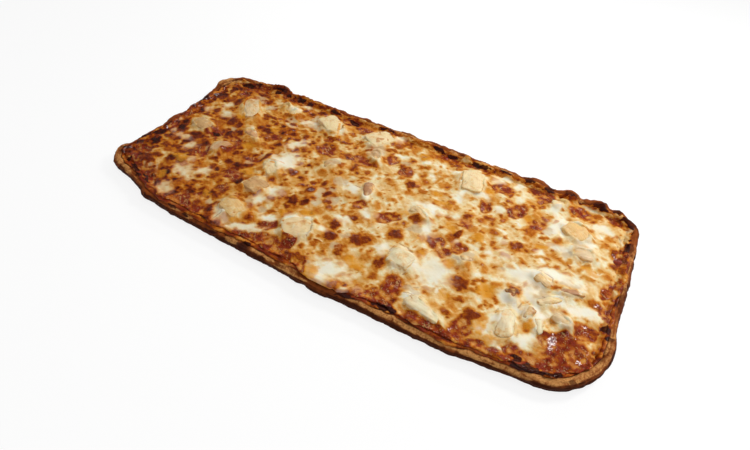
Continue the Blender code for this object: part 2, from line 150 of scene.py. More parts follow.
# Where sauce shows along the edge of the cheese: x, y, share, half width
SAUCY_EDGE = (
    (145, -56, 1, 22), (118, -64, 1, 18), (90, -68, 1, 16), (68, -69, 1, 12), (42, -69, 1, 13),
    (-18, -71, 1, 18), (-82, -68, 1, 14), (-137, -57, 1, 18), (-115, -63, 0.5, 10),
    (-144, 54, 1, 20), (-43, 66, 0.6, 14), (22, 68, 0.8, 22), (95, 67, 1, 26), (150, -10, 0.6, 20),
)

# Where the crust's lip is tan: x, y, share, half width
TAN_LIP = (
    (-147, -44, 0.7, 8), (-138, -55, 0.9, 9), (-118, -62, 0.3, 8), (-83, -68, 0.35, 6),
    (-55, -70, 0.3, 7), (-41, -71, 1, 5), (-23, -71, 0.9, 7), (-3, -71, 0.7, 8),
    (38, -70, 0.8, 10), (58, -69, 1, 12), (78, -69, 1, 12), (101, -66, 1, 12),
    (124, -64, 0.9, 13), (146, -50, 0.6, 14), (151, -20, 0.5, 16), (151, 10, 0.6, 14),
    (151, 36, 0.5, 10), (-150, 54, 0.8, 10), (-125, 69, 0.5, 8), (60, 69, 0.45, 12),
    (-72, 70, 0.45, 10), (-28, 69, 0.4, 8), (2, 70, 0.45, 12), (112, 69, 0.4, 6),
)

# Chicken: x, y, length, width, height, turn in degrees, form, tint
CHICKEN_PIECES = (
    (-109.5, 35, 25.5, 12.5, 5.2, -50, "dice", "grey"),
    (-51.5, 48.5, 21.5, 14.5, 5.6, -30, "dice", "cream"),
    (-123.5, 2.5, 16.5, 11, 4.6, -15, "dice", "fawn"),
    (-89, 11, 14, 6.5, 4.6, -28, "wedge", "pink"), (-98, -9.5, 13.5, 8, 4.2, 72, "dice", "pink"),
    (-90, 50.5, 7, 5.5, 4.2, -40, "dice", "golden"),
    (-82, 46.5, 7.5, 4.5, 4.4, -60, "dice", "pale"),
    (-58.5, -9.5, 13.5, 9, 4.2, -42, "dice", "pale"),
    (-55.5, -28, 14.5, 13, 5.4, -10, "dice", "fawn"),
    (-54.5, -49.5, 15.5, 12, 5.4, -24, "dice", "golden"),
    (-16, 52, 19.5, 17, 5.4, 62, "dice", "cream"), (-10, 35, 13, 9.5, 4.4, -56, "wedge", "fawn"),
    (-28.5, 13.5, 12.5, 8, 4.6, 28, "wedge", "fawn"), (2, 3.5, 15, 6.5, 5.2, -76, "wedge", "smoky"),
    (37, 2.5, 15, 6, 4.6, -24, "shred", "tan"), (52, 45, 20.5, 16.5, 5.8, -76, "dice", "cream"),
    (-15, -43, 18.5, 16.5, 4.9, 36, "dice", "pale"),
    (43.5, -34, 13.5, 12.5, 5.8, -8, "dice", "white"),
    (66, -56.5, 21.5, 8.5, 5, -14, "wedge", "white"), (73, -15.5, 9, 5.5, 4.8, 30, "wedge", "fawn"),
    (118, 35, 16, 13.5, 5.6, -38, "dice", "golden"), (124.5, 20.5, 12, 9, 5, 10, "dice", "grey"),
    (103.5, 54, 9.5, 6, 4.6, 20, "dice", "cream"),
    (103.5, -43.5, 17.5, 9.5, 5.8, 98, "egg", "white"),
    (100.5, -25.5, 8.5, 6.5, 5.2, -64, "wedge", "brown"),
    (110.5, -33, 10, 5, 5.2, -104, "wedge", "smoky"), (111, -9, 11, 6.5, 5.2, -26, "wedge", "tan"),
    (125.5, -9, 14.5, 5, 5.2, 21, "shred", "smoky"), (117.5, -20, 15, 5, 5.4, 43, "shred", "cream"),
    (126, -28, 10.5, 6.5, 4.8, -8, "dice", "grey"),
    (117.5, -37, 10, 4.6, 4.8, -72, "shred", "white"),
)
# Form: how far each section narrows to its end, how square it is, and how far it bends
CHICKEN_FORMS = {
    "dice": (0.16, 0.60, 0.0),
    "wedge": (0.55, 0.44, 0.06),
    "shred": (0.34, 0.42, 0.16),
    "egg": (0.30, 0.36, 0.0),
}

# Spots on the food: x, y, length, width, and a turn in degrees where they lie askew
AMBER_SPOTS = (
    (-122, 64, 9, 11), (-124, 44, 10, 5, -30), (-73, 53, 10, 7, 20), (-78, 47, 8, 8),
    (-108, 60, 9, 4, -35), (-118, 46, 6, 12, 30), (-86, 42, 8, 4), (-66, 34, 10, 4, 10),
    (-103, 31, 7, 4), (-84, 24, 8, 6), (-74, 27, 10, 8), (-83, 4, 7, 5, 20), (-79, 8, 4, 6),
    (-118, 11, 11, 7), (-108, 24, 8, 5), (-129, 3, 8, 4), (-119, -28, 5, 3), (-117, -32, 9, 5),
    (-108, -34, 6, 3.5), (-98.5, -36, 4, 2.5), (-117, -43, 5, 7, 30), (-112, -46, 6, 7),
    (-97, -49.5, 6, 5), (-92.5, -45, 3, 6), (-86, -15.5, 5, 2.5, -20), (-82.5, -20, 4, 5),
    (-80, -11, 5, 7), (-66, -13, 5, 4), (-64, -35, 10, 5, -35), (-84, -41, 9, 5.5),
    (-87.5, -32.5, 5, 4.5), (-78, -47, 4, 5), (-71, -47.5, 7, 4.5), (-50, -11.5, 5.5, 4),
    (-43, -17, 4, 3.5), (-38, -14, 4, 4.5), (-40, -24, 6.5, 8), (-35, -20, 3, 3),
    (-37, -43, 3, 2.5), (-43, -44, 4, 2, -30), (-44.5, -47.5, 3, 2), (-43.5, -52.5, 4, 3),
    (-46, -39, 3, 2), (-66, -58, 4, 3.5), (-62.5, -61, 2.5, 3.5), (-54, -58, 6, 5),
    (-37, -34, 5, 8, 20), (-9.5, -20.5, 6.5, 3.5), (-8, -27.5, 4.5, 4.5), (-19, -31, 6, 5),
    (-14.5, -25.5, 8, 7), (-17.5, -37.5, 2.5, 2), (-24, -43.5, 3, 2), (-28, -35.5, 10, 6, 20),
    (4, -47, 6, 4.5), (5, -51, 4.5, 4), (1.5, -16, 2.5, 4), (5, -16, 3, 3), (13.5, -17, 5, 2.5),
    (10, -19.5, 5, 2.5), (6, -20.5, 3, 1.5), (-4, -13, 2.5, 5), (-7, -17, 2, 4), (17, -11, 7, 5),
    (18, -47, 6, 5, 30), (9.5, -54, 3.5, 3), (12, -53, 2.5, 4), (17, -53.5, 4.5, 3),
    (21, -58.5, 5, 2, 50), (7, -63, 3.5, 4), (12, -69.5, 3, 2), (7, -69, 2.5, 2.5), (26, -50, 7, 4),
    (31.5, -52.5, 4, 2.5), (26, -41.5, 7, 9), (38, -62, 7, 6), (33, -60, 6, 4), (46, -13, 4.5, 6),
    (57.5, -18, 5, 5), (66, -22.5, 5, 6), (75.5, -18, 4, 5), (49.5, -24, 5, 6), (83, -17, 4, 6),
    (63, -43, 4, 2.5), (66, -42.5, 2, 4), (78, -47, 7, 4), (74, -44, 3, 8), (92, -23, 5, 5.5),
    (123, -31, 3.5, 3), (93, -46, 4, 7), (-73, 16, 7, 4, -20), (-31, 4, 8, 6), (-29, -2, 4, 5),
    (-26, 9, 3, 6), (-33, 21, 6, 3, 30), (-29, 26, 11, 6), (-12, 24, 6, 4), (-13.5, 13, 7, 3),
    (-4, 14, 4, 2.5), (0, 23.5, 3, 3), (7, 27.5, 3, 3), (8, 20, 8, 3.5), (12, 27, 4, 8, -20),
    (12, 18.5, 4, 3), (23, 16.5, 8, 4.5), (8, 6, 3, 4.5), (16, 6, 6, 3.5), (12, -4, 4, 7, 30),
    (2, -15, 3, 2), (36, 25, 8, 4.5), (39, 19, 3, 2.5), (35, 16.5, 4.5, 2), (47, 18, 5, 5.5),
    (43, 21.5, 4, 2.5), (52, 21, 4, 3), (57, 3, 6, 6), (72, 5, 6, 5), (76, 1, 4.5, 3.5),
    (67, 8, 8, 5), (61, 8, 6, 4), (46, 8, 5, 5), (34, 44, 5, 2.5), (33, 37, 3, 12, -15),
    (37, 34, 6, 5), (40, 36, 5, 4), (44, 39, 3, 4), (64, 44, 4, 5), (67, 47, 3, 3),
    (71, 57, 5, 3.5), (62, 57, 4, 4), (57, 33, 4, 3), (74, 37, 4, 3), (69, 39, 5.5, 6),
    (27, 57, 6, 4.5), (26, 32, 5, 4), (16, 54, 7, 6), (19, 61, 6, 5), (8.5, 59.5, 5, 4.5),
    (3, 52, 5.5, 4.5), (-2, 62, 4.5, 6), (-6, 59, 3.5, 4.5), (23, 38.5, 4, 3.5),
    (11, 44, 3, 6, -20), (89, 38.5, 4.5, 3.5), (96, 38, 5, 4), (102, 43, 5, 2.5), (92, 34, 5, 6),
    (134, 35, 4.5, 4), (136, 42, 5.5, 4.5), (88, 44, 6, 3), (120, 56, 5, 3), (103, 16.5, 6.5, 4.5),
    (95, 17, 5, 3.5), (98, 1, 5, 2), (94, -7, 4, 3), (112, 3, 14, 1.6, 22), (132, 7, 7, 3.5),
    (137, 15.5, 4.5, 2.5), (129, 14, 4.5, 3.5), (127, 11.5, 4, 3), (120, 12, 2, 3.5),
    (116.5, 12, 2.5, 3.5), (112.5, 13, 3, 4), (108, 21, 6, 3, 20), (86, 8, 4, 3),
    (106, 8, 7, 2.5, 10), (121, 4, 8, 2, 15), (140, 12, 5, 3), (91, 22, 4, 3),
)
BROWN_SPOTS = (
    (-139, 48, 3.5, 9, -15), (-130, 50, 10, 10), (-115, 56, 9, 5, 20), (-140, 37, 8.5, 6.5),
    (-143, 32, 4, 4), (-132, 14, 10, 4), (-131, 22, 5, 7), (-125, 12, 5, 3.5),
    (-112, 18, 8, 12, -15), (-120, -7, 11, 5.5), (-133, -9, 4, 4), (-144, 27, 3.5, 10),
    (-143, 18, 7.5, 5.5), (-144, 8, 5.5, 6.5), (-143, -6, 6.5, 8.5), (-136, -3, 2.5, 4.5),
    (-121.5, -13, 3.5, 4), (-136, -13, 3, 2.5), (-136.5, -18.5, 7, 3.5, -10),
    (-129.5, -17.5, 5, 6.5), (-124, -24, 8.5, 4.5), (-132, -25.5, 7, 6), (-139, -26.5, 2.6, 10, 20),
    (-143.5, -28.5, 5, 3.5), (-134, -31.5, 5.5, 5, -30), (-128.5, -36.5, 6.5, 5.5),
    (-118.5, -35.5, 5.5, 4), (-113, -22.5, 4.5, 3.5, 20), (-127, -42.5, 9, 5, -15),
    (-97, 36, 6, 3.5), (-92, 36, 5, 3.5), (-91, 32, 3.5, 3), (-67, 58, 3.5, 5), (-47, 38, 5.5, 3.5),
    (-52, 39, 3.5, 3), (-62, 38.5, 4, 3), (-77, 37, 4, 3), (-81, 14, 8, 4.5, -20),
    (-61, 29, 3, 9, 15), (-58, 24, 3, 3), (-53, 17.5, 5.5, 4.5), (-53, 10, 3.5, 3),
    (-48.5, 12, 3, 3), (-41.5, 13, 3.5, 3), (-43, 22, 5.5, 5), (-50, -5, 4.5, 3.5),
    (-48, 5, 4.5, 2.5), (-41, 5.5, 3, 3), (-39, -1, 3.5, 3.5), (-37, -7, 3, 4.5), (-80, -9, 5, 4),
    (-91.5, -27, 3, 6, 25), (-94.5, -21.5, 6.5, 4.5), (-78.5, -17.5, 3.5, 5, 30),
    (-71.5, -14, 3, 7, -20), (-53.5, -31, 5.5, 8.5), (-72.5, -40, 9, 8), (-42.5, -32, 4.5, 4.5),
    (-31, -7, 3, 4), (-33, -11, 3.5, 3.5), (-31.5, -17, 4.5, 4), (-15.5, -17, 5, 3.5),
    (-18, -3.5, 3.5, 3.5), (-24, -2.5, 3.5, 3.5), (-36, -40, 5, 4), (-10, -34.5, 4, 3, -40),
    (-12, -41.5, 4, 3, -30), (-3, -41, 2.5, 2.5), (-2, -48, 4.5, 6), (-1, -45, 5, 2),
    (-6, -45.5, 2.5, 4), (-22, -49, 6, 2.5, -25), (12, -42.5, 7, 8.5), (5, -33, 3, 3),
    (-3, -59, 9, 5), (-21, -57, 6, 5), (21, -66, 6, 5), (36, -50, 4, 7), (43, -57, 5, 3),
    (62, -15.5, 6, 6.5), (79.5, -8.5, 4, 3), (81, -14, 2, 2.5), (81.5, -27, 3, 3.5),
    (83, -32, 4, 3.5), (85, -23.5, 3, 3), (79, -41.5, 8, 4.5, 32), (76.5, -52, 8, 4.5),
    (86, -23.5, 3, 3), (90.5, -39.5, 3, 3), (104, -15, 2, 4), (119, -10, 5, 4, 20),
    (-22, 27, 4.5, 3), (-19, 28, 4, 8), (-24, 16, 4, 6.5), (-18, 17, 2.5, 5.5), (-18, 22, 2, 4),
    (-8, 27, 8, 4.5), (-7, 18, 3.5, 2.5), (3.7, 24, 2.4, 3.5), (29, 23, 5.5, 3.5),
    (48.5, 22, 4.5, 4), (44, 2, 2.5, 2.5), (45, 27, 2, 2), (69, 17, 7, 6), (78, 12.5, 7, 6),
    (80, 24, 4, 3.5), (66, -7, 4, 6.5), (60, -4, 6, 8.5), (77, -3, 4.5, 3.5), (80, 4, 4.5, 3.5),
    (51, 0, 2.5, 2.5), (-34.5, 39, 5.5, 3.5), (-36, 49, 3.5, 5.5), (-27, 43, 4.5, 4.5),
    (-27, 38.5, 3, 3), (-31, 54.5, 4.5, 4), (-18, 38.5, 4.5, 3.5), (-6, 37.5, 3, 2.5),
    (-5, 48.5, 4.5, 3.5), (-4, 43, 3.5, 6.5), (-1, 40, 4.5, 6.5), (4, 41, 3, 3.5),
    (5, 66, 5.5, 3.5), (3, 60, 3, 3.5), (-8.5, 55, 2.5, 4.5), (20, 43.5, 6.5, 4, 30),
    (13, 33, 7.5, 9), (33, 58, 4, 5), (36, 55, 4, 4), (39, 57, 3.5, 6.5), (61, 49.5, 4.5, 3.5),
    (68, 53, 8.5, 6.5), (73, 50, 8, 6), (78, 43, 4.5, 3.5), (83, 34, 6.5, 7.5), (86, 42, 5.5, 6.5),
    (77, 38, 3.5, 4.5), (63, 32.5, 3.5, 3.5), (84, 35, 6, 6), (91, 44, 3, 2.5), (96, 47.5, 4, 3),
    (100.5, 38, 4, 5), (105.5, 39.5, 2.5, 3.5), (97, 33, 8.5, 6.5), (127, 57, 8.5, 4.5),
    (136, 57, 4.5, 5.5), (108, 51.5, 2.5, 2.5), (143, 23, 5.5, 4.5), (129.5, 19, 2.5, 2),
    (111, 25, 6, 6), (103, 23, 2.5, 2.5), (102, 27, 2.5, 2.5), (96, 24, 8, 8), (101.5, 12, 3, 5.5),
    (85, 12, 3.5, 3.5), (89, 21.5, 2.5, 2.5), (90, -1, 6.5, 3.5), (120, -10, 3, 3),
    (73, 22, 8, 5.5),
)
DEEP_SPOTS = (
    (-134, 60, 10, 8), (-115, 2, 7, 5), (-95, -6, 8, 13, -10), (-47, 61, 8, 5), (-42, 27, 12, 12),
    (-33, 58, 6, 6), (-69, 20, 2.5, 9, 25), (-69, -3, 3, 13), (-28, -12.5, 6, 7),
    (-17.5, -11, 5, 5.5), (-31.5, -25.5, 7, 7), (-25.5, -24, 5.5, 7.5), (-1, -29.5, 7.5, 7.5),
    (2, -38.5, 8.5, 7), (-75, -44.5, 3.5, 3.5), (-79, -27, 8, 7, 20), (-68.5, -29, 6, 6),
    (18, -32, 15, 9, 35), (20, 24, 6.5, 7.5), (21, -7, 12, 5, 32), (2, -9, 4.5, 4.5),
    (32, -18, 9, 9.5), (37, -2.5, 7.5, 6.5), (26, -6, 4.5, 6.5), (35, -41.5, 7.5, 9),
    (53, -11.5, 10, 9), (66, -9, 7.5, 8), (47, -50.5, 11, 12), (75.5, -31.5, 9.5, 10),
    (86, -51, 8, 10), (60.5, 16, 6, 7), (62, 1, 3, 7.5), (68, 29, 4, 8), (93, 8.5, 7.5, 7.5),
    (141, 32, 6.5, 8.5), (95, 57, 8.5, 10), (117, 55, 11, 9), (31, 63, 9, 6), (49, 62, 12, 3.5),
    (101, -22.5, 7, 8), (-17, -52, 5, 4), (88, -46, 8, 7), (-109, -18, 8, 7),
)
OILY_PATCHES = (
    (88, -29, 8, 11), (-69, -18.5, 9, 7), (37, 25, 9, 5), (56, 3, 7, 6), (16, 54, 8, 7),
    (-112, 26, 7, 6), (-111, -47, 6, 7), (66, -22.5, 6, 6), (72, 4, 9, 7), (-86, 2, 9, 5, 20),
    (94, -50, 5, 8), (24, -48, 14, 7), (-18, -30, 9, 8), (-30, -37, 8, 5), (71, -43, 7, 7),
    (114, -38, 3, 6), (92, 34, 6, 6), (50, -23, 6, 5), (30, -2, 6, 5), (-52, -55, 8, 6),
    (8, -64, 9, 7), (108, -63, 5, 5), (99, -56, 7, 5), (-84, 26, 9, 6), (43, 19, 12, 5),
    (64, 44, 6, 6), (130, 12, 12, 4), (104, 16, 9, 4), (-78, -47, 6, 6), (-115, -31, 10, 8),
)
WHITE_POOLS = (
    (-57, 1, 17, 19), (60, -32, 20, 21), (103, -11, 20, 14), (108, -18, 9, 12, 20),
    (134, -17, 21, 6, 12), (59, 39, 15, 4.5, -15), (51, 33, 6, 9), (104, 48, 5, 9),
    (108, 37, 11, 14), (113, 20, 10, 6, 20), (120, 0, 24, 8, 5), (32, -31, 7, 9), (-44, -26, 9, 10),
    (-48, -35, 10, 7), (-118, -18, 7, 9), (-108, -28, 6, 7), (-92, -33, 9, 7),
    (-103, -39, 17, 9, -25), (-101, -57, 11, 8, -20), (-58, -57, 9, 14, 60),
    (-42, -58, 22, 4.5, 27), (15, -58, 20, 12), (14, -66, 12, 8), (-20, -39, 14, 9, 30),
    (0, -24, 12, 5), (-4, -36, 7, 4), (10, -13, 10, 6), (40, 12, 22, 5), (55, 13, 8, 6),
    (45, -6, 8, 14, 20), (62, -6, 4, 4), (84, 8, 6, 6), (82, -4, 6, 5), (100, -43, 4, 6),
    (97, -44, 4, 7), (114, -48, 13, 6, 35), (116, -31, 6, 13, 10), (99, -28, 8, 6),
    (-61, 20, 8, 17, -38), (-68, 45, 12, 6), (-86, 52, 9, 6), (-81, 61, 6, 5), (-145, 0, 5, 4),
    (-138, 21, 7, 6), (-129, 30, 6, 9), (-122, 22, 10, 7), (-45, 47, 9, 4), (-7, 62, 7, 9),
    (3, -2, 5, 4), (-8, 1, 9, 6), (-34, -45, 7, 6), (66, 57, 8, 5), (78, 58, 5, 7),
    (132, 48, 15, 7), (122, 62, 7, 4), (98, -9, 10, 6), (128, 31, 7, 6), (105, 11, 8, 4),
    (82, -63.5, 9, 3, 10), (27, -66, 6, 5, 30), (34, -63, 6, 4), (104, -59, 4, 8, 20),
    (69, 62, 6, 5), (76, 66, 3, 5), (-128, -13, 13, 5), (-139, -12, 7, 5), (75, 33, 7, 4),
    (-77, 35, 6, 3), (20, 49, 9, 4), (3, 47, 8, 3), (49, 28, 8, 4), (90, 0, 8, 5),
)
# Grey patches: partly translucent cheese, partly painted shadow beside the chicken
GREY_AND_SHADOW_PATCHES = (
    (-114, 50, 15, 8, -30), (-102, 46, 8, 8), (-62, 43, 12, 4.5), (-80, 40, 8, 5), (-67, 52, 4, 9),
    (-109, 66, 8, 3, -35), (-14, 41, 13, 15), (-18, -5, 6, 6), (-17, 4, 8, 9),
    (-22, -12, 5, 12, 15), (-19, -20, 8, 6), (-12, -13, 7, 8), (-30, 17, 9, 9),
    (-102, -10, 8, 16, -15), (-106, 8, 3.5, 12, 15), (-108, -14.5, 5, 3, -45), (-97, -18, 3, 3.5),
    (-75, -12, 5, 10), (-73, -3, 3, 5), (-75, -27, 9, 9), (-125, -47, 9, 5, -20),
    (-118, -48, 4, 12, 25), (-111, -54, 6, 4, -30), (-106, -61.5, 8, 3, -38), (-72, -53, 7, 7),
    (-50, -41, 8, 5, -30), (-41, -41, 6, 5), (-15, -48, 6, 3.5, -25), (-12, -52, 4, 6),
    (-14, -57, 6, 8), (9, -34, 5, 6), (8, -44, 5, 6), (38, -9, 10, 6, 30), (43, -39, 9, 4, -25),
    (57, -48, 9, 5), (72, -12, 6, 7), (69, -17, 8, 4), (108, -14, 8, 10, 20), (125, -2, 16, 5, 15),
    (114, -9, 9, 5), (126, -10, 14, 5, 20), (115, -18, 8, 9), (111, -32, 5, 10), (124, -26, 9, 8),
    (130, -30, 7, 7), (124, 26, 12, 10), (113, 20, 9, 6, 20), (102, -42, 5, 6), (-147, 33, 3, 8),
    (-135, -37, 4, 7), (9, 42, 6, 4), (146, 57, 6, 5), (7, -64, 4, 5), (3, -62, 5, 5),
    (92, -10, 4, 4), (105, 30, 8, 6), (118, 18, 6, 5),
)
SAUCE_FIELDS = (
    (-140, -36, 12, 8), (-139, -46, 14, 9, -45), (-126, -51, 20, 7, -15), (-115, -57, 16, 9, -20),
    (-103, -64, 12, 5, -20), (-85, -59, 18, 13), (-73, -61, 11, 7), (-79, -51, 8, 8),
    (-95, -63, 12, 6), (-38, -62, 16, 6, 28), (-31, -48, 9, 11), (-24, -59, 22, 10, -15),
    (-14, -57, 9, 14), (0, -66, 9, 8), (-22, -65, 12, 6, -20), (32, -67, 18, 6, 20),
    (44, -60, 16, 7, 20), (47, -51, 12, 13), (60, -62, 8, 6, -40), (73, -63, 17, 7),
    (86, -57, 13, 13), (97, -62, 10, 9), (109, -56, 10, 8), (121, -56, 22, 11, 8),
    (131, -47, 22, 16, 30), (133, -38, 22, 12), (139, -28, 14, 12), (143, -11, 9, 11),
    (142, 3, 7, 13), (146, -20, 5, 9), (122, -41, 8, 8), (-97, -4, 14, 17, -10),
    (-107, -19, 15, 10, -20), (-115, 0, 14, 12), (-78, 19, 10, 7), (-42, 26, 14, 13),
    (-74, -8, 11, 5, 15), (-76, -27, 14, 12, -20), (-73, -39, 9, 9), (-20, 28, 22, 8),
    (0, 40, 10, 9), (12, 34, 10, 11), (22, -9, 16, 8, 30), (3, -8, 8, 7), (63, 12, 9, 8),
    (67, 30, 8, 12), (71, 51, 14, 9), (84, 37, 11, 14), (96, 57, 10, 12), (117, 55, 14, 10),
    (97, 31, 11, 9), (-134, 60, 14, 10), (-122, 63, 12, 12), (-101, 66, 9, 7), (-89, 65, 11, 8),
    (-60, 66, 14, 6), (-44, 62, 16, 7), (-32, 58, 9, 8), (-14, 66, 10, 6), (30, 62, 14, 9),
    (50, 62, 18, 6), (-130, 50, 10, 9), (-144, 10, 6, 14), (-143, -8, 7, 10), (136, 60, 12, 7),
    (145, 33, 7, 18), (147, 12, 5, 12), (89, 61, 8, 6), (66, -9, 9, 10), (53, -12, 10, 10),
    (60, -16, 10, 8), (-48, 36, 8, 5),
)
CHAR_SPOTS = (
    (-134, 61, 11, 8), (-112, 70.5, 7, 4), (-101, 67, 6, 4), (-91, 66, 7, 6), (-61, 67, 10, 5),
    (-43, 62, 11, 5, -10), (-20, 67.5, 16, 4), (20, 67, 12, 5, -25), (31, 64, 9, 6),
    (50, 65, 16, 5), (66, 68, 8, 4), (82, 69, 9, 6), (95, 67, 9, 8), (108, 71, 9, 6),
    (126, 69, 11, 10), (136, 69, 7, 5), (144, 63, 12, 8, -40), (-152, 50, 6, 5),
    (-151.5, -42, 5, 4.5), (-122, -56.5, 4, 3.5), (-87, -66, 9, 2.6, -4), (-75, -67, 6, 2.4),
    (-54, -70, 10, 2.6, 8), (-32, -69, 9, 8), (50, -65, 17, 3.5, 2), (30, -69, 12, 4, 15),
    (120, -60.5, 20, 6, 8), (131, -57.5, 8, 3, 25), (114, -57, 6, 4), (147, -20, 5, 6),
    (149, -25, 5, 4), (151, 2, 3, 30), (140, -57, 7, 4, 25), (-113, 0, 6, 4),
    (-139, -48, 9, 3, -50), (-130, -52.5, 13, 3, -24), (147, 42, 6, 14), (-104, -67, 9, 2, -6),
    (-117, -56, 9, 2.4, -16), (-150, 30, 3, 12), (-150, -25, 2.5, 12),
)
BARE_CRUST = (
    (-146, 55, 12, 20, -20), (-147, -44, 5, 12, 25), (-143, -50.5, 12, 5, -50),
    (-133, -56, 15, 4.5, -22), (-83, -66.5, 9, 3), (-72, -67, 6, 5), (-50, -66.5, 12, 2.2, 22),
    (-40, -69, 10, 4.5), (-26, -66, 9, 4.5), (-20, -68, 6, 3.5, -20), (-15, -69, 7, 3),
    (-37, -63, 7, 3), (-8, -66.5, 6, 6), (0, -71, 24, 1.8), (50, -68, 24, 5, 2), (45, -63, 7, 3),
    (51, -61, 6, 2.5), (75, -68.5, 34, 4, 2), (97, -67.5, 16, 3.5, 5), (114, -66, 22, 3.5, 6),
    (131, -61, 12, 5, 25), (140, -53, 16, 7, 55), (146, -42, 14, 7, 72), (148, -30, 14, 5, 85),
    (148, -12, 18, 2, 90), (148, 8, 30, 2, 90), (149, 27, 22, 3, 90), (144, 19, 10, 3, -40),
    (138, 64, 8, 4), (114, 66, 8, 4), (60, 69.5, 30, 3, -2), (0, 70, 40, 2.5), (-70, 69, 24, 3),
    (-125, 69, 16, 4, 10), (30, 69, 10, 3),
)
# Thin dark creases and edges, partly scorched and partly painted shade in the gaps: from x, y to x,
# y, then width
SCORCHED_AND_SHADED_CREASES = (
    (-61, -17, -57, -16.5, 1.8), (-57, -16.5, -54, -20, 2.6), (-54, -20, -52.5, -23, 1.2),
    (-54.5, -35, -55.5, -39, 1.2), (-63, -41, -54, -41.3, 0.9), (-57, -41, -54.5, -41.5, 1.6),
    (37, -23.5, 42, -24, 0.8), (42, -24, 46, -26, 1.4), (48.5, -30, 47, -34.5, 0.8),
    (35.6, -26, 35, -31, 0.9), (35, -31, 36, -35, 0.9), (46.5, -36, 46.5, -39, 0.7),
    (49, -40, 48.5, -42, 0.9), (-14, -32, -10, -38, 0.7), (-10, -38, -8, -46, 0.8),
    (106, -1, 116, -3, 0.8), (116, -3, 117, -6, 0.8), (106.8, -28, 106.2, -31, 1.1),
    (98, -36, 97.5, -40, 0.7), (105.5, -50, 107.5, -49, 0.9), (110.5, -45, 110.8, -48, 0.8),
    (-8, 5, -4, 5, 0.8), (111, 45, 117, 47, 0.7), (120, 47, 126, 43, 0.8), (124, 40, 129, 38, 1.0),
    (-95, 19, -88, 17, 1.0), (-88, 17, -85, 13, 1.0), (-66, -47, -58, -56, 0.7),
    (-58, -56, -60, -62, 0.9), (54, -52, 59, -50.5, 0.9), (57, -46, 59, -45, 0.8),
    (116, -19.5, 114.5, -19, 1.2), (-116, 50, -112, 47, 0.6), (140, 23, 150, 14, 0.8),
    (-66.4, 4.3, -65.6, 4.3, 1.8), (98.5, -18.5, 103, -18.5, 1.0), (104, -20, 103.5, -25, 0.9),
)
# Amber streaks where oil runs down the side of the chicken
OIL_STREAKS = (
    (-115, 49, -110, 43, 1.8), (-110, 43, -103, 36, 1.8), (-51, 56, -47, 48, 2.0),
    (-47, 48, -43, 40, 1.8), (43, 50, 44.5, 43, 1.8), (44.5, 43, 46, 38, 1.6),
    (-75, -21, -67, -20.5, 2.6), (-67, -20.5, -61, -17.5, 2.0), (-66, -4, -56, -1.5, 1.4),
    (44, -14, 42, -19, 1.4), (-55, -69, -45, -65, 1.8),
)
# Spots on the chicken alone, in the same form
CHICKEN_MARKS = (
    (-118, 49.5, 3, 3), (-103.5, 46.5, 3, 3), (-98, 50, 3, 3), (-101, 38, 6, 5),
    (-52.5, 59, 2.5, 2.5), (-51.5, 53.5, 2.5, 2.5), (-21.5, 62.5, 3, 3.5), (-19.5, 54, 3, 4),
    (-18, 55.5, 2.5, 2.5), (-15, 57.5, 2.5, 2.5), (-13, 65, 4, 5), (-12, 51.5, 2.5, 2.5),
    (-26, 11.5, 2.5, 3), (-30, 12.5, 4, 2), (-1, 1, 3, 2.5), (47.5, 54, 1.8, 1.8),
    (48, 47, 1.8, 1.8), (122, 42.5, 1.6, 1.6), (120.5, 49, 2, 1.6), (112, 44.5, 1.6, 1.8),
    (122.3, 26.7, 1.3, 1.3), (125.5, 21.5, 1.5, 1.5), (132.5, -6.5, 2.2, 2.2), (115, -21, 1.4, 1.6),
    (-52, -50.5, 1.4, 1.4), (-65, -26, 3, 2), (-63, -23, 3, 1.5), (57, -52, 2, 1.5),
)

# Colours of the finishes: red, green and blue from 0 to 255
BAKED = (
    (0.0, (255, 250, 232)),
    (0.15, (248, 225, 176)),
    (0.30, (235, 191, 122)),
    (0.45, (218, 148, 60)),
    (0.60, (193, 103, 17)),
    (0.75, (149, 60, 5)),
    (0.88, (108, 33, 2)),
    (1.0, (58, 17, 6)),
)
TAN_CHEESE = BAKED[2][1]
# Brown of the creases: partly scorched, partly painted shade
CREASE_BROWN_AND_SHADE = BAKED[5][1]
MILKY = (255, 249, 229)
PALE_GREY_AND_SHADE = (208, 184, 150)
SAUCY_CHEESE = (204, 128, 72)
OIL_YELLOW = (236, 160, 40)
SAUCE_RED = (156, 50, 26)
SAUCE_DARK = (106, 36, 14)
SCORCHED = (88, 34, 14)
BURNT = (52, 20, 14)
CRUST_TAN = (226, 164, 96)
CRUST_BROWN = (150, 76, 32)
# Dark lower side of the crust: partly browned, partly painted shade
CRUST_UNDER_BROWN_AND_SHADE = (62, 26, 10)
CHICKEN_BROWN = (206, 132, 52)
FLOOR_GREY = (120, 120, 120)
WHITE = (255, 255, 255)

# Tints of chicken, and how strongly its fibres show
CHICKEN_TINTS = {
    "pale": ((250, 222, 172), 0.3),
    "cream": ((253, 228, 178), 0.3),
    "golden": ((244, 202, 134), 0.4),
    "tan": ((240, 206, 152), 0.8),
    "fawn": ((222, 178, 122), 0.7),
    "pink": ((226, 172, 122), 0.6),
    "grey": ((242, 214, 168), 0.5),
    "smoky": ((196, 142, 98), 0.8),
    "white": ((253, 236, 198), 0.25),
    "brown": ((122, 70, 34), 1.0),
}

# Lights: name, place, target, length, width, power, colour
LIGHTS = (
    ("window", (300, 260, 400), (60, 0, 0), 110, 110, 1.3, (1.0, 0.99, 0.97)),
    ("back_strip", (-40, 360, 260), (0, 0, 0), 460, 24, 0.4, (1.0, 1.0, 1.0)),
    ("overhead", (260, -90, 700), (110, 0, 0), 400, 400, 1.02, (1.0, 1.0, 1.0)),
)
ROOM_LIGHT = 0.3
FLOOR_LIGHT = 0.84
FLOOR_HALF_SIZE = 30000

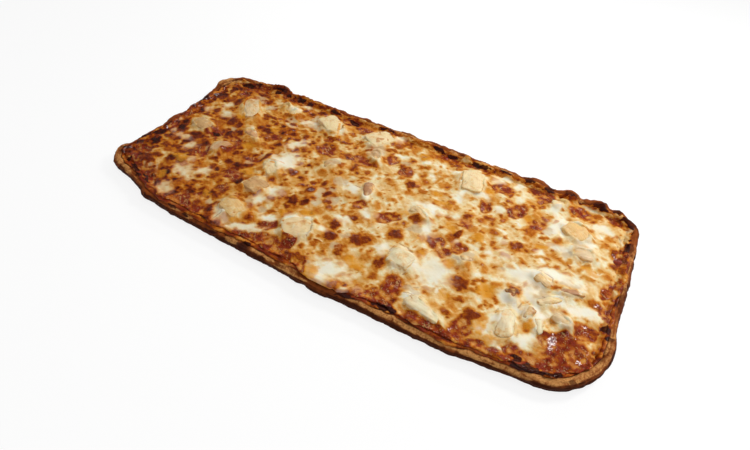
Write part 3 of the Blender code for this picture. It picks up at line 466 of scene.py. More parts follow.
# How the finer pieces are made: insets, gaps and rounding
UNDERSIDE_INSET = 24
FLOOR_REACH = 4
UNDERSIDE_GAP = 0.01
SEAM = 0.005
KNOB_ROUNDNESS = 3
UPPER_LEAST = -0.2
SAUCE_TUCK = 0.4
SAUCE_SINK = 0.25
CHEESE_TUCK = 0.2
SWELL_SHARE = 0.55
CORNER_STEPS = 40
CUT_ROUNDS = 3
CHICKEN_DOME = 0.32
CHICKEN_SINK = 0.1
CHICKEN_SMOOTHING = 5
LARGE_CHICKEN = 12
LARGE_CUTS = 17
SMALL_CUTS = 13

# Distance past which a spot has no effect, in its own half widths
FARTHEST = 2.4

# Uneven waves: size and seed of their table, shift for each seed, and gain
TABLE_SIZE = 256
TABLE_SEED = 7
SEED_SHIFT = 11.7
WAVE_GAIN = 1.6
SHRED_ANGLE = math.radians(-40)
SHRED_TURN = np.array(Matrix.Rotation(SHRED_ANGLE, 3, "Z"))
STRAND_TURN = np.array(Matrix.Rotation(math.radians(22), 3, "Z"))

# Level of the cheese, on which the spots are placed, and the camera that looks at it
SPOT_LEVEL = 9.16
SPOT_SCALE = 1.0157
SPOT_SHIFT = (-1.06, 0.89, 0)
CAMERA_PLACE = (107.12, -195.08, 205.25)
CAMERA_RIGHT = (0.87053009, 0.4894021, 0.05160372)
CAMERA_UP = (-0.37790538, 0.59764423, 0.70711308)
CAMERA_LENS = 24.23
SENSOR_WIDTH = 36
NEAREST_SEEN = 10


def steps_table(count, seed):
    """A shuffled table and the slopes that it points to, for uneven waves."""
    draw = np.random.default_rng(seed)
    slopes = draw.normal(size=(count, 3))
    slopes /= np.linalg.norm(slopes, axis=1, keepdims=True)
    return draw.permutation(count), slopes


SHUFFLE, SLOPES = steps_table(TABLE_SIZE, TABLE_SEED)


def wave(places, pitch, seed=0.0):
    """Uneven wave from about -1 to 1 at each place, with the given pitch along each axis."""
    spot = places / np.asarray(pitch, float) + seed * SEED_SHIFT
    cell = np.floor(spot).astype(int)
    inner = spot - cell
    ease = inner ** 3 * (inner * (inner * 6 - 15) + 10)
    total = np.zeros(len(places))
    for corner in np.ndindex(2, 2, 2):
        index = np.zeros(len(places), int)
        for axis in range(3):
            index = SHUFFLE[(index + cell[:, axis] + corner[axis]) % TABLE_SIZE]
        weight = np.prod(np.where(corner, ease, 1 - ease), axis=1)
        total += weight * ((inner - corner) * SLOPES[index]).sum(axis=1)
    return WAVE_GAIN * total


def smooth(value, low, high):
    """0 below low and 1 above high, eased between them."""
    share = np.clip((value - low) / (high - low), 0, 1)
    return share * share * (3 - 2 * share)


def distance_to(flat, spots):
    """Distance of each place to the nearest spot: 0 at its middle, 1 on its outline."""
    nearest = np.full(len(flat), FARTHEST)
    for x, y, length, width, *askew in spots:
        reach = FARTHEST * max(length, width) / 2
        close = (np.abs(flat[:, 0] - x) < reach) & (np.abs(flat[:, 1] - y) < reach)
        away = flat[close, :2] - (x, y)
        turn = math.radians(askew[0] if askew else 0)
        along = math.cos(turn), math.sin(turn)
        lengthwise = (away @ along) / (length / 2)
        crosswise = (away @ (-along[1], along[0])) / (width / 2)
        nearest[close] = np.minimum(nearest[close], np.hypot(lengthwise, crosswise))
    return nearest


def scattered(flat, pitch, seed):
    """The same distance, to the nearest of many round spots scattered one to a cell."""
    home = np.floor(flat[:, :2] / pitch).astype(int)
    nearest = np.full(len(flat), FARTHEST)
    for shift in np.ndindex(3, 3):
        cell = home + shift - 1
        row = SHUFFLE[(cell[:, 0] + seed) % TABLE_SIZE] + cell[:, 1]
        drawn = [SHUFFLE[(row + step) % TABLE_SIZE] / TABLE_SIZE for step in (0, 83, 171)]
        across, up, large = drawn
        middle = (cell + np.stack([across, up], axis=1)) * pitch
        radius = pitch * (0.10 + 0.34 * large ** 1.5)
        nearest = np.minimum(nearest, np.linalg.norm(flat[:, :2] - middle, axis=1) / radius)
    return nearest


def baked_spot(away, core, halo):
    """How far a spot is baked: its core inside, and its halo just round it."""
    inner = core * (1 - smooth(away, 0.7, 1.15))
    outer = halo * (1 - smooth(away, 0.9, 1.9))
    return np.maximum(inner, outer)


def nearness(flat, spots, edge=1.35):
    """How deep each place lies in the nearest of the spots: 1 inside, 0 outside."""
    return 1 - smooth(distance_to(flat, spots), 0.45, edge)


def strokes(flat, lines):
    """How deep each place lies in the nearest of the lines: 1 on it, 0 past its width."""
    deepest = np.zeros(len(flat))
    for x0, y0, x1, y1, width in lines:
        along = np.array((x1 - x0, y1 - y0), float)
        share = np.clip((flat[:, :2] - (x0, y0)) @ along / (along @ along), 0, 1)
        away = np.linalg.norm(flat[:, :2] - (x0, y0) - share[:, None] * along, axis=1)
        deepest = np.maximum(deepest, 1 - smooth(away / (width / 2), 0.3, 1.5))
    return deepest


def levelled(flat):
    """A copy of the places, all at height 0."""
    level = flat.copy()
    level[:, 2] = 0
    return level


def on_spot_level(places):
    """Where places fall on the level of the spots, along the line to the camera."""
    camera = np.array(CAMERA_PLACE)
    share = (camera[2] - SPOT_LEVEL) / (camera[2] - places[:, 2:3])
    return (camera + (places - camera) * share) * SPOT_SCALE + SPOT_SHIFT


def stirred(flat, amount, pitch, seed):
    """Places moved about a little, so that a plain oval drawn there has an uneven edge."""
    level = levelled(flat)
    shifts = [wave(level, pitch, seed), wave(level, pitch, seed + 3.1)]
    level[:, :2] += amount * np.stack(shifts, axis=1)
    return level


def round_corner(before, corner, after, radius):
    """Points of the arc that rounds one corner of the outline."""
    back = (before - corner).normalized()
    ahead = (after - corner).normalized()
    half_turn = (math.pi - back.angle(ahead)) / 2
    longest = 0.5 * min((before - corner).length, (after - corner).length)
    reach = min(radius * math.tan(half_turn), longest)
    start = corner + back * reach
    end = corner + ahead * reach
    points = []
    for step in range(CORNER_STEPS + 1):
        share = step / CORNER_STEPS
        points.append(start.lerp(corner, share).lerp(corner.lerp(end, share), share))
    return points


def spread_along(path, count):
    """Points at even steps along a closed path."""
    closed = np.array(path + path[:1])
    passed = np.concatenate([[0], np.cumsum(np.linalg.norm(np.diff(closed, axis=0), axis=1))])
    wanted = np.arange(count) * passed[-1] / count
    return np.stack([np.interp(wanted, passed, closed[:, axis]) for axis in range(2)], axis=1)


def smooth_outline():
    """The flatbread's outline from above, without its knobs."""
    corners = [Vector((x, y)) for x, y, _radius in OUTLINE_CORNERS]
    path = []
    for i, (_x, _y, radius) in enumerate(OUTLINE_CORNERS):
        after = corners[(i + 1) % len(corners)]
        path += round_corner(corners[i - 1], corners[i], after, radius)
    return spread_along(path, OUTLINE_POINTS)


def bells(points, spots, column, power=2):
    """Sum of the smooth swells at the spots, each as high as its column says."""
    total = np.zeros(len(points))
    for spot in spots:
        away = np.linalg.norm(points[:, :2] - spot[:2], axis=1)
        total += spot[column] * np.exp(-((away / spot[-1]) ** power))
    return total


def part_ripple(points, pitch, seed):
    """The same uneven wave as in the part."""
    places = points[:, :2] / pitch
    return np.array([noise.noise(Vector((x, y, seed))) for x, y in places])


class Outline:
    """The outline with what varies along it: normals, knobs, rim height and layer edges."""

    def __init__(self):
        self.points = smooth_outline()
        ahead = np.roll(self.points, -NORMAL_SPAN, axis=0)
        ahead -= np.roll(self.points, NORMAL_SPAN, axis=0)
        ahead /= np.linalg.norm(ahead, axis=1, keepdims=True)
        self.normals = np.stack([ahead[:, 1], -ahead[:, 0]], axis=1)
        self.reach = bells(self.points, RIM_KNOBS, 2, KNOB_ROUNDNESS)
        self.rise = bells(self.points, RIM_KNOBS, 3, KNOB_ROUNDNESS)
        self.fit()
        self.rim = (
            RIM_HEIGHT
            + BACK_RIM_RISE * np.maximum(0, self.points[:, 1]) / (WIDTH / 2)
            - FRONT_RIM_DROP * np.maximum(0, -self.points[:, 1]) / (WIDTH / 2)
            + RIM_WAVE * part_ripple(self.points, RIM_PITCH, 3.0)
            + self.rise
        )
        self.tan = bells(self.points, TAN_LIP, 2).clip(0, 1)
        self.saucy = bells(self.points, SAUCY_EDGE, 2).clip(0, 1)
        self.sauce_edge = self.edge(
            SAUCE_INSET, sway=0.8, seed=5.0, spots=SAUCE_EDGE_SPOTS, ragged_share=0.9)
        self.cheese_edge = self.edge(
            CHEESE_INSET, sway=1.6, seed=9.0, spots=CHEESE_EDGE_SPOTS, ragged_share=1.8)
        self.tree = KDTree(OUTLINE_POINTS)
        for i, point in enumerate(self.points):
            self.tree.insert((*point, 0), i)
        self.tree.balance()

    def fit(self):
        """Scale and centre the outline so that the knobs touch the length and width."""
        outer = self.points + self.normals * self.reach[:, None]
        low = outer.min(axis=0)
        high = outer.max(axis=0)
        fitted = (outer - (low + high) / 2) * (LENGTH, WIDTH) / (high - low)
        self.points = fitted - self.normals * self.reach[:, None]

    def edge(self, inset, sway, seed, spots, ragged_share):
        """Distances in from the outline at which a layer ends, with a fine ragged edge."""
        level = np.column_stack([self.points, np.zeros(OUTLINE_POINTS)])
        ragged = 0.7 * wave(level, 8.0, seed + 2) + 0.55 * wave(level, 4.2, seed)
        ragged += 0.3 * wave(level, 1.9, seed + 1)
        swell = inset + sway * part_ripple(self.points, EDGE_PITCH, seed)
        swell += bells(self.points, spots, 2)
        return np.maximum(LEAST_INSET, swell + ragged_share * ragged)

    def inward(self, inset, knob_share=0.0):
        """Plan positions of the outline moved in by a distance, one for each point."""
        shift = self.reach * knob_share - inset
        return self.points + self.normals * shift[:, None]

    def crust_top(self, i, inset):
        """Height of the crust's upper side at distances in from outline points i."""
        slope = CRUST_SIDE[WIDEST:]
        places = [place for place, _share, _knob_share in slope] + [RIM_WIDTH]
        shares = [share for _place, share, _knob_share in slope] + [0.0]
        floor_shares = [0.0] * len(slope) + [1.0]
        rim_height = self.rim[i] * np.interp(inset, places, shares)
        return rim_height + FLOOR_HEIGHT * np.interp(inset, places, floor_shares)

    def nearest(self, plan):
        """The nearest outline point to each place, and how far in from it the place lies."""
        found = np.array([self.tree.find((x, y, 0))[1] for x, y in plan[:, :2]])
        inset = ((self.points[found] - plan[:, :2]) * self.normals[found]).sum(axis=1)
        return found, inset


def stacked(plan, height):
    """Plan positions with a height each."""
    return np.column_stack([plan, np.broadcast_to(height, len(plan))])


def wrapped_grid(bm, rings):
    """A grid wrapped round a stack of closed rings, with its seam still open."""
    last = len(rings) - 1
    around = rings.shape[1]
    made = bmesh.ops.create_grid(bm, x_segments=around, y_segments=last, size=1.0)
    for vertex in made["verts"]:
        column = round((vertex.co.x + 1) / 2 * around) % around
        row = round((vertex.co.y + 1) / 2 * last)
        vertex.co = rings[row, column]


def close_skin(bm):
    """Merge the seams, fill the open ends and turn the faces outwards."""
    bmesh.ops.remove_doubles(bm, verts=bm.verts, dist=SEAM)
    open_edges = [edge for edge in bm.edges if edge.is_boundary]
    bmesh.ops.holes_fill(bm, edges=open_edges, sides=0)
    bmesh.ops.recalc_face_normals(bm, faces=bm.faces)


def patch_grid(bm, ring):
    """A grid that spans a closed ring of the outline's points, by a Coons patch."""
    made = bmesh.ops.create_grid(
        bm, x_segments=CELLS_ALONG, y_segments=CELLS_ACROSS, size=1.0)
    right_end = CELLS_ALONG + CELLS_ACROSS
    back_end = right_end + CELLS_ALONG
    front = ring[:CELLS_ALONG + 1]
    right = ring[CELLS_ALONG:right_end + 1]
    back = ring[right_end:back_end + 1][::-1]
    left = np.concatenate([ring[back_end:], ring[:1]])[::-1]
    across = np.linspace(0, 1, CELLS_ALONG + 1)[None, :, None]
    up = np.linspace(0, 1, CELLS_ACROSS + 1)[:, None, None]
    ruled = front * (1 - up) + back * up
    ruled = ruled + left[:, None] * (1 - across) + right[:, None] * across
    near = front[0] * (1 - across) + front[-1] * across
    far = back[0] * (1 - across) + back[-1] * across
    patch = ruled - near * (1 - up) - far * up
    for vertex in made["verts"]:
        column = round((vertex.co.x + 1) / 2 * CELLS_ALONG)
        row = round((vertex.co.y + 1) / 2 * CELLS_ACROSS)
        vertex.co = patch[row, column]


def to_mesh(name, bm):
    """A named object from a bmesh that is in millimetres."""
    mesh = bpy.data.meshes.new(name)
    bm.to_mesh(mesh)
    bm.free()
    mesh.shade_smooth()
    item = bpy.data.objects.new(name, mesh)
    bpy.context.scene.collection.objects.link(item)
    return item


def places_of(item):
    """The places of all vertices."""
    places = np.empty(len(item.data.vertices) * 3)
    item.data.vertices.foreach_get("co", places)
    return places.reshape(-1, 3)


def set_places(item, places):
    """Move all vertices to the places."""
    item.data.vertices.foreach_set("co", places.ravel())
    item.data.update()


def outward_of(item):
    """Unit outward direction at each vertex."""
    item.data.update()
    outward = np.empty(len(item.data.vertices) * 3)
    item.data.vertices.foreach_get("normal", outward)
    return outward.reshape(-1, 3)


def note(item, **fields):
    """Keep values with the mesh, one for each vertex, for its finish to read."""
    for name, values in fields.items():
        kind = "FLOAT_VECTOR" if values.ndim == 2 else "FLOAT"
        key = "vector" if values.ndim == 2 else "value"
        layer = item.data.attributes.new(name, kind, "POINT")
        layer.data.foreach_set(key, np.ascontiguousarray(values, dtype=np.float32).ravel())


def finish_piece(item, material, slot, *nodes):
    """Size a piece in metres inside the part's box, and hand it over to the frame."""
    low = np.array(CAD_LOW) / MM
    high = np.array(CAD_HIGH) / MM
    set_places(item, places_of(item).clip(low, high) * MM)
    item.data.materials.append(material)
    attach(item, "root")
    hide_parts(*nodes)


# Spots with how far they are baked inside and just round them
BAKED_SPOTS = ((AMBER_SPOTS, 0.54, 0.42), (BROWN_SPOTS, 0.68, 0.50), (DEEP_SPOTS, 0.82, 0.56))


class Spots:
    """What shows at each place of a surface: browning, sauce, oil, white, and grey that is partly
    translucent cheese and partly painted shadow.
    """

    def __init__(self, places):
        flat = on_spot_level(places)
        self.fine = stirred(stirred(flat, 1.1, 3.2, 1.0), 1.5, 6.5, 71.0)
        self.broad = stirred(flat, 2.6, 6.0, 5.0)
        self.level = levelled(flat)
        self.sauce = nearness(self.broad, SAUCE_FIELDS, 1.45)
        self.grey = nearness(self.broad, GREY_AND_SHADOW_PATCHES, 1.45)
        self.oil = nearness(self.broad, OILY_PATCHES, 1.6)
        self.ragged = 0.26 * wave(flat, 2.2, 31.0) + 0.09 * wave(flat, 1.0, 32.0)
        feathered = distance_to(self.broad, WHITE_POOLS) + 1.3 * self.ragged
        feathered += 0.35 * wave(self.level @ SHRED_TURN, (9.0, 2.6, 9.0), 17.0)
        # Less white towards the west end: partly toasting, partly painted shade where the light falls
        # off
        toasted_shaded_west_white_share = 1 - 0.4 * smooth(-self.level[:, 0], 40, 120)
        self.white = (1 - smooth(feathered, 0.35, 1.5)) * toasted_shaded_west_white_share
        self.brown = np.zeros(len(flat))
        for spots, core, halo in BAKED_SPOTS:
            away = distance_to(self.fine, spots) + self.ragged
            self.brown = np.maximum(self.brown, baked_spot(away, core, halo))
        charred = distance_to(self.fine, CHAR_SPOTS) + 1.3 * self.ragged
        self.char = 1 - smooth(charred, 0.5, 1.3)
        self.crease = strokes(stirred(flat, 0.25, 2.5, 8.0), SCORCHED_AND_SHADED_CREASES)
        self.streak = strokes(stirred(flat, 0.4, 2.5, 9.0), OIL_STREAKS)


def crust_rings(outline):
    """Closed rings of the crust's cross-section, from under the edge to the floor."""
    rings = [stacked(outline.inward(UNDERSIDE_INSET), 0.0)]
    for inset, share, knob_share in CRUST_SIDE:
        rings.append(stacked(outline.inward(inset, knob_share), outline.rim * share))
    rings.append(stacked(outline.inward(RIM_WIDTH), FLOOR_HEIGHT))
    rings.append(stacked(outline.inward(RIM_WIDTH + FLOOR_REACH), FLOOR_HEIGHT))
    rings = np.array(rings)
    for _cut in range(CUT_ROUNDS):
        quarter = 0.75 * rings[:-1] + 0.25 * rings[1:]
        three = 0.25 * rings[:-1] + 0.75 * rings[1:]
        cut = np.stack([quarter, three], axis=1).reshape(-1, *rings.shape[1:])
        rings = np.concatenate([rings[:1], cut, rings[-1:]])
    return rings


def backward(places):
    """0 over the front and middle, 1 along the back."""
    return smooth(places[:, 1], 30, 60)


def build_crust(outline, material):
    """The baked base: blistered rim, flaky brown side and flat underside."""
    bm = bmesh.new()
    wrapped_grid(bm, crust_rings(outline))
    close_skin(bm)
    item = to_mesh("baked_crust", bm)
    places = places_of(item)
    spots = Spots(places)
    found, inset = outline.nearest(places)
    height = places[:, 2] / outline.rim[found]
    along = stacked(np.column_stack([found * 0.71, inset * 1.4]), 0)
    along[:, 2] = places[:, 2]
    flakes = wave(along, (26, 1.4, 1.0), 2.0)
    swell = 0.34 * wave(places, 5.0, 1.0) + 0.20 * wave(places, 2.4, 2.0)
    swell += 0.09 * wave(places, 1.2, 3.0)
    blister = smooth(wave(places, 5.5, 6.0), 0.1, 0.7)
    back = backward(places)
    relief = swell + 0.22 * flakes * smooth(height, 0.1, 0.4) + blister * (0.35 + 0.5 * back)
    relief += 0.45 * spots.char * (0.5 + wave(places, 2.2, 9.0)) - 0.25
    lifted = smooth(places[:, 2], 0.2, 2.5)
    set_places(item, places + outward_of(item) * (relief * lifted)[:, None])
    burnt = 0.3 * back * smooth(wave(places, (9, 5, 5), 4.0), 0.0, 0.5)
    tan = outline.tan[found]
    char = spots.char * (1 - 0.9 * tan) * (1 - 0.35 * back)
    bare = nearness(stirred(on_spot_level(places), 0.5, 5.0, 2.0), BARE_CRUST, 1.3)
    sauce = smooth(inset - outline.sauce_edge[found], -1.2, 0.4)
    sauce *= 0.75 + 0.5 * wave(places, 6.0, 5.0) - 0.3 * back
    note(
        item,
        bare=bare * smooth(height, 0.55, 0.85),
        char=np.maximum(char, burnt),
        height=height,
        flakes=flakes,
        sauce=sauce,
        tan=tan,
    )
    finish_piece(item, material, "crust", "crust")


def lip(depth, radius):
    """Rounded edge of a layer: 0 at the edge, 1 from the radius inwards."""
    share = np.clip(depth / radius, 0, 1)
    return np.sqrt(1 - (1 - share) ** 2)


def layer_stack(outline, edge, lift, rows, inner_least):
    """A layer's rings: up its underside from the floor, round its edge and in over the top."""
    inner = np.maximum(inner_least, edge + 3.0)
    under = [inner + 4, inner + 1, edge + 1.8, edge + 0.4]
    upper = [edge + (inner - edge) * share for share in np.linspace(0, 1, rows) ** 1.6]
    everywhere = np.arange(OUTLINE_POINTS)
    stack = []
    for row, inset in enumerate(under + upper):
        height = outline.crust_top(everywhere, inset) + lift + UNDERSIDE_GAP * (row - len(under))
        stack.append(stacked(outline.inward(inset), height))
    return np.array(stack)


def build_sauce(outline, material):
    """Dark glossy sauce that shows between the cheese and the rim."""
    bm = bmesh.new()
    lift = GAP - SAUCE_TUCK
    wrapped_grid(bm, layer_stack(outline, outline.sauce_edge, lift, rows=16, inner_least=22))
    close_skin(bm)
    item = to_mesh("sauce_layer", bm)
    places = places_of(item)
    found, inset = outline.nearest(places)
    depth = inset - outline.sauce_edge[found]
    upper = outward_of(item)[:, 2] > UPPER_LEAST
    base = outline.crust_top(found, inset) + GAP
    lumps = 0.30 * wave(places, 4.0, 3.0) + 0.16 * wave(places, 1.9, 5.0)
    top = base + lip(depth, 1.2) * (SAUCE_THICKNESS + lumps) - SAUCE_SINK
    places[:, 2] = np.where(upper, top, places[:, 2])
    set_places(item, places)
    spots = Spots(places)
    streaky = wave(spots.level, (6.0, 3.0, 5.0), 8.0)
    bake = 0.74 - 0.10 * backward(places) + 0.40 * streaky
    note(item, bake=bake, sauce=spots.sauce, char=spots.char)
    finish_piece(item, material, "bbq_sauce", "bbq_sauce")


def beside_chicken(places):
    """Distance to the nearest piece of chicken, below 0 inside its outline from above."""
    nearest = np.full(len(places), 50.0)
    for x, y, length, width, _height, turn, form, _tint in CHICKEN_PIECES:
        away = places[:, :2] - (x, y)
        along = np.array((math.cos(math.radians(turn)), math.sin(math.radians(turn))))
        lengthwise = away @ along / (length / 2)
        taper = 1 - CHICKEN_FORMS[form][0] * (lengthwise.clip(-1, 1) + 1) / 2
        crosswise = away @ (-along[1], along[0]) / (width / 2) / taper
        share = (np.abs(lengthwise) ** 3 + np.abs(crosswise) ** 3) ** (1 / 3) + 1e-6
        gap = np.linalg.norm(away, axis=1) * (1 - 1 / share)
        nearest = np.minimum(nearest, gap)
    return nearest


def cheese_depth(places):
    """Thickness of the cheese away from its edge: the part's, with lower swells."""
    lumps = part_ripple(places, LUMP_PITCH, 1.5)
    lumps += FINE_LUMP_SHARE * part_ripple(places, LUMP_PITCH / 2, 7.5)
    swell = np.zeros(len(places))
    for x, y, length, *_rest in CHICKEN_PIECES:
        away = np.linalg.norm(places[:, :2] - (x, y), axis=1)
        swell = np.maximum(swell, np.exp(-((away / (SWELL_REACH_SHARE * length)) ** 2)))
    return CHEESE_THICKNESS + CHEESE_LUMP * lumps + SWELL_SHARE * CHEESE_SWELL * swell


def cheese_relief(spots, climb):
    """Height of the spots, wrinkles and pools, and of the cheese that climbs the chicken."""
    level = spots.level
    wrinkles = 0.16 * wave(level, 2.6, 2.0) + 0.09 * wave(level, 1.4, 4.0)
    pebbles = 0.16 * np.abs(wave(level, 1.7, 6.0))
    return (
        wrinkles * (1 - 0.75 * spots.white)
        + 0.36 * spots.brown + 1.4 * pebbles * spots.brown
        - 0.55 * spots.sauce * (1 - spots.white)
        + 0.30 * spots.white
        + climb * (1.8 + 1.9 * wave(level, 6.5, 41.0))
        - 0.30 * spots.crease
    )


def small_spots(spots, patches, toasted_shaded_west, creamy):
    """Browning of the many small spots scattered between the drawn ones."""
    dense = smooth(patches, 0.0, 0.65)
    near_large = scattered(stirred(spots.level, 1.6, 4.0, 61.0), 9.5, 5) + spots.ragged
    near_small = scattered(stirred(spots.level, 1.0, 3.0, 62.0), 5.2, 9) + spots.ragged
    away_large = near_large + 0.5 - 0.8 * dense
    away_small = near_small + 0.6 - 0.9 * dense
    # The west terms add browning that is partly painted shade
    large = baked_spot(away_large, 0.67, 0.46 - 0.08 * creamy * toasted_shaded_west) + 0.16 * toasted_shaded_west
    small = baked_spot(away_small, 0.60, 0.42 - 0.08 * creamy * toasted_shaded_west) + 0.17 * toasted_shaded_west
    return np.maximum(large, small)


def cheese_browning(spots, depth, climb):
    """How far the cheese away from the sauce is baked: 0 milky, 1 scorched."""
    level = spots.level
    # Browner towards the west end: partly toasting, partly painted shade where the light falls off
    toasted_shaded_west = smooth(-level[:, 0], -60, 130)
    rimward = 1 - smooth(depth, 2, 16)
    drawn = stirred(level, 5.0, 15.0, 51.0)
    shreds = wave(drawn @ SHRED_TURN, (10.0, 2.4, 10.0), 14.0)
    strands = wave(drawn @ STRAND_TURN, (8.0, 1.8, 8.0), 15.0)
    patches = 0.60 * wave(level, 17.0, 3.0) + 0.2 * toasted_shaded_west + 0.25 * rimward
    creamy = smooth(wave(drawn, (12.0, 7.0, 12.0), 81.0), 0.0, 0.5)
    lean = 0.20 + (0.33 - 0.24 * creamy) * toasted_shaded_west + 0.08 * rimward + 0.16 * wave(level, 8.0, 3.0)
    lean += 0.14 * shreds + 0.08 * strands + 0.08 * wave(level, 3.4, 12.0)
    glow = smooth(wave(drawn, (7.5, 5.0, 7.0), 21.0) + patches, 0.05, 0.9)
    spotted = small_spots(spots, patches, toasted_shaded_west, creamy) + 0.35 * (lean - 0.2) + 0.08 * glow
    bake = np.maximum(lean + 0.24 * glow, spotted)
    rim_bake = (0.58 + 0.24 * wave(level, 7.0, 56.0)) * (1 - smooth(depth, 0.2, 2.0))
    bake = np.maximum(bake * (1 - 0.82 * spots.white), rim_bake)
    bake *= 1 - 0.45 * climb * smooth(depth, 3.0, 8.0)
    return np.maximum(bake, spots.brown * (0.94 + 0.14 * toasted_shaded_west) + 0.25 * (bake - 0.3))


def build_cheese(outline, material):
    """The melted cheese: lumps, blisters, smooth pools and wrinkles."""
    bm = bmesh.new()
    lift = GAP + SAUCE_THICKNESS
    tucked = lift - CHEESE_TUCK
    stack = layer_stack(outline, outline.cheese_edge, tucked, rows=12, inner_least=RIM_WIDTH)
    wrapped_grid(bm, stack)
    patch_grid(bm, stack[-1])
    close_skin(bm)
    item = to_mesh("melted_cheese", bm)
    places = places_of(item)
    upper = outward_of(item)[:, 2] > UPPER_LEAST
    found, inset = outline.nearest(places)
    depth = inset - outline.cheese_edge[found]
    base = outline.crust_top(found, inset.clip(0, RIM_WIDTH)) + lift
    rounding = lip(depth, 1.5 + 2.5 * outline.saucy[found])
    first = places.copy()
    thinner = 0.55 + 0.45 * smooth(inset, 3.0, RIM_WIDTH)
    first[:, 2] = base + cheese_depth(places) * rounding * thinner
    spots = Spots(first)
    gap = beside_chicken(places)
    climb = np.exp(-gap.clip(0) / 3.0) * smooth(gap, -4.0, -0.8)
    relief = cheese_relief(spots, climb) * smooth(depth, 0, 1.5)
    places[:, 2] = np.where(upper, first[:, 2] + relief, places[:, 2])
    set_places(item, places)
    level = spots.level
    bake = cheese_browning(spots, depth, climb)
    saucy = outline.saucy[found] * (1 - smooth(depth + 2 * wave(level, 5.0, 55.0), 1.5, 6.0))
    saucy *= 1 - 0.6 * backward(level)
    sauce = np.maximum(spots.sauce * (1 - 0.8 * spots.white), saucy)
    sauce_bake = 0.70 + 0.32 * wave(level, 3.8, 71.0) + 0.30 * wave(level, 2.1, 72.0)
    bake += (np.maximum(sauce_bake, 0.6 * bake) - bake) * smooth(sauce, 0.25, 0.75)
    note(
        item,
        bake=bake,
        sauce=sauce,
        white=spots.white * (1 - saucy),
        grey=spots.grey * (1 - 0.5 * spots.white),
        oil=np.maximum(spots.oil, spots.streak),
        char=spots.char,
        crease=spots.crease,
    )
    finish_piece(item, material, "cheese", "cheese")


def chicken_bmesh(number, size, form):
    """One piece on its own origin, shaped as in the part but cut finer."""
    noise.seed_set(CHICKEN_SEED)
    taper, squareness, bend = CHICKEN_FORMS[form]
    cuts = LARGE_CUTS if size.x > LARGE_CHICKEN else SMALL_CUTS
    bm = bmesh.new()
    bmesh.ops.create_cube(bm, size=2.0)
    bmesh.ops.subdivide_edges(bm, edges=bm.edges, cuts=cuts, use_grid_fill=True)
    slope = Vector((math.sin(number * 2.1), math.cos(number * 1.7))) * CHICKEN_TILT
    for vertex in bm.verts:
        soft = (vertex.co.normalized() * BALL_RADIUS).lerp(vertex.co, squareness)
        end = (soft.x + 1) / 2
        place = soft * ROUGHNESS_FINENESS + Vector((number * ROUGHNESS_STEP, 0.0, 0.0))
        wobble = noise.noise_vector(place)
        soft.y = soft.y * (1 - taper * end) + bend * (1 - soft.x * soft.x)
        soft.z = soft.z * (1 - HEIGHT_TAPER_SHARE * taper * end) + slope.x * soft.x + slope.y * soft.y
        if soft.z > 0:
            soft.z *= 1 - CHICKEN_DOME * min(1.0, (soft.x ** 2 + soft.y ** 2) / 2)
        vertex.co = soft + wobble * CHICKEN_ROUGHNESS
    for _pass in range(CHICKEN_SMOOTHING):
        bmesh.ops.smooth_vert(
            bm, verts=bm.verts, factor=0.5, use_axis_x=True, use_axis_y=True, use_axis_z=True)
    low = Vector([min(vertex.co[axis] for vertex in bm.verts) for axis in range(3)])
    high = Vector([max(vertex.co[axis] for vertex in bm.verts) for axis in range(3)])
    for vertex in bm.verts:
        for axis in range(3):
            share = (vertex.co[axis] - low[axis]) / (high[axis] - low[axis])
            vertex.co[axis] = (share - 0.5) * size[axis]
    return bm


def build_chicken(number, piece, material):
    """A piece of chicken with fibres along it and browned corners, where its node is."""
    x, y, length, width, height, turn, form, _tint = piece
    node = f"chicken_{number:02d}"
    size = Vector((length, width, height))
    item = to_mesh(f"chicken_piece_{number:02d}", chicken_bmesh(number, size, form))
    own = places_of(item)
    fibre = wave(own + number * 9.0, (7.0, 1.5, 1.3), 1.0)
    torn = 1.0 if form in ("shred", "wedge") else 0.35
    rough = (0.34 + 0.2 * torn) * wave(own + number * 5.0, 3.8, 2.0)
    rough += (0.06 + 0.12 * torn) * wave(own, 1.6, 3.0)
    rough += 0.12 * torn * fibre
    own = own + outward_of(item) * rough[:, None]
    turned = np.array(Matrix.Rotation(math.radians(turn), 3, "Z"))
    low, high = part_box(node)
    places = own @ turned.T + (x, y, 0)
    places[:, 2] += high.z / MM - CHICKEN_SINK - places[:, 2].max()
    set_places(item, places)
    spots = Spots(places)
    above = places[:, 2] - low.z / MM
    # Marks also take the creases: partly scorched, partly painted shade
    marks = np.maximum(0.85 * nearness(spots.broad, CHICKEN_MARKS), 0.6 * spots.crease)
    foot = 1.1 * spots.brown * (1 - smooth(above, 0.6 * height, 0.95 * height))
    note(
        item,
        own=own,
        marks=np.maximum(marks, foot),
        oil=spots.streak,
        grey=spots.grey,
        buried=1 - smooth(above, 0.45 * height, 0.85 * height),
        # sides: how far the surface faces sideways, for the painted shade on the flanks
        sides=1 - smooth(outward_of(item)[:, 2], 0.45, 0.95),
        brown=spots.brown,
    )
    finish_piece(item, material, "chicken", node)


def linear(colour):
    """A colour of 0 to 255 as the shader takes it."""
    shares = [part / 255 for part in colour]
    return (*[s / 12.92 if s <= 0.04045 else ((s + 0.055) / 1.055) ** 2.4 for s in shares], 1.0)


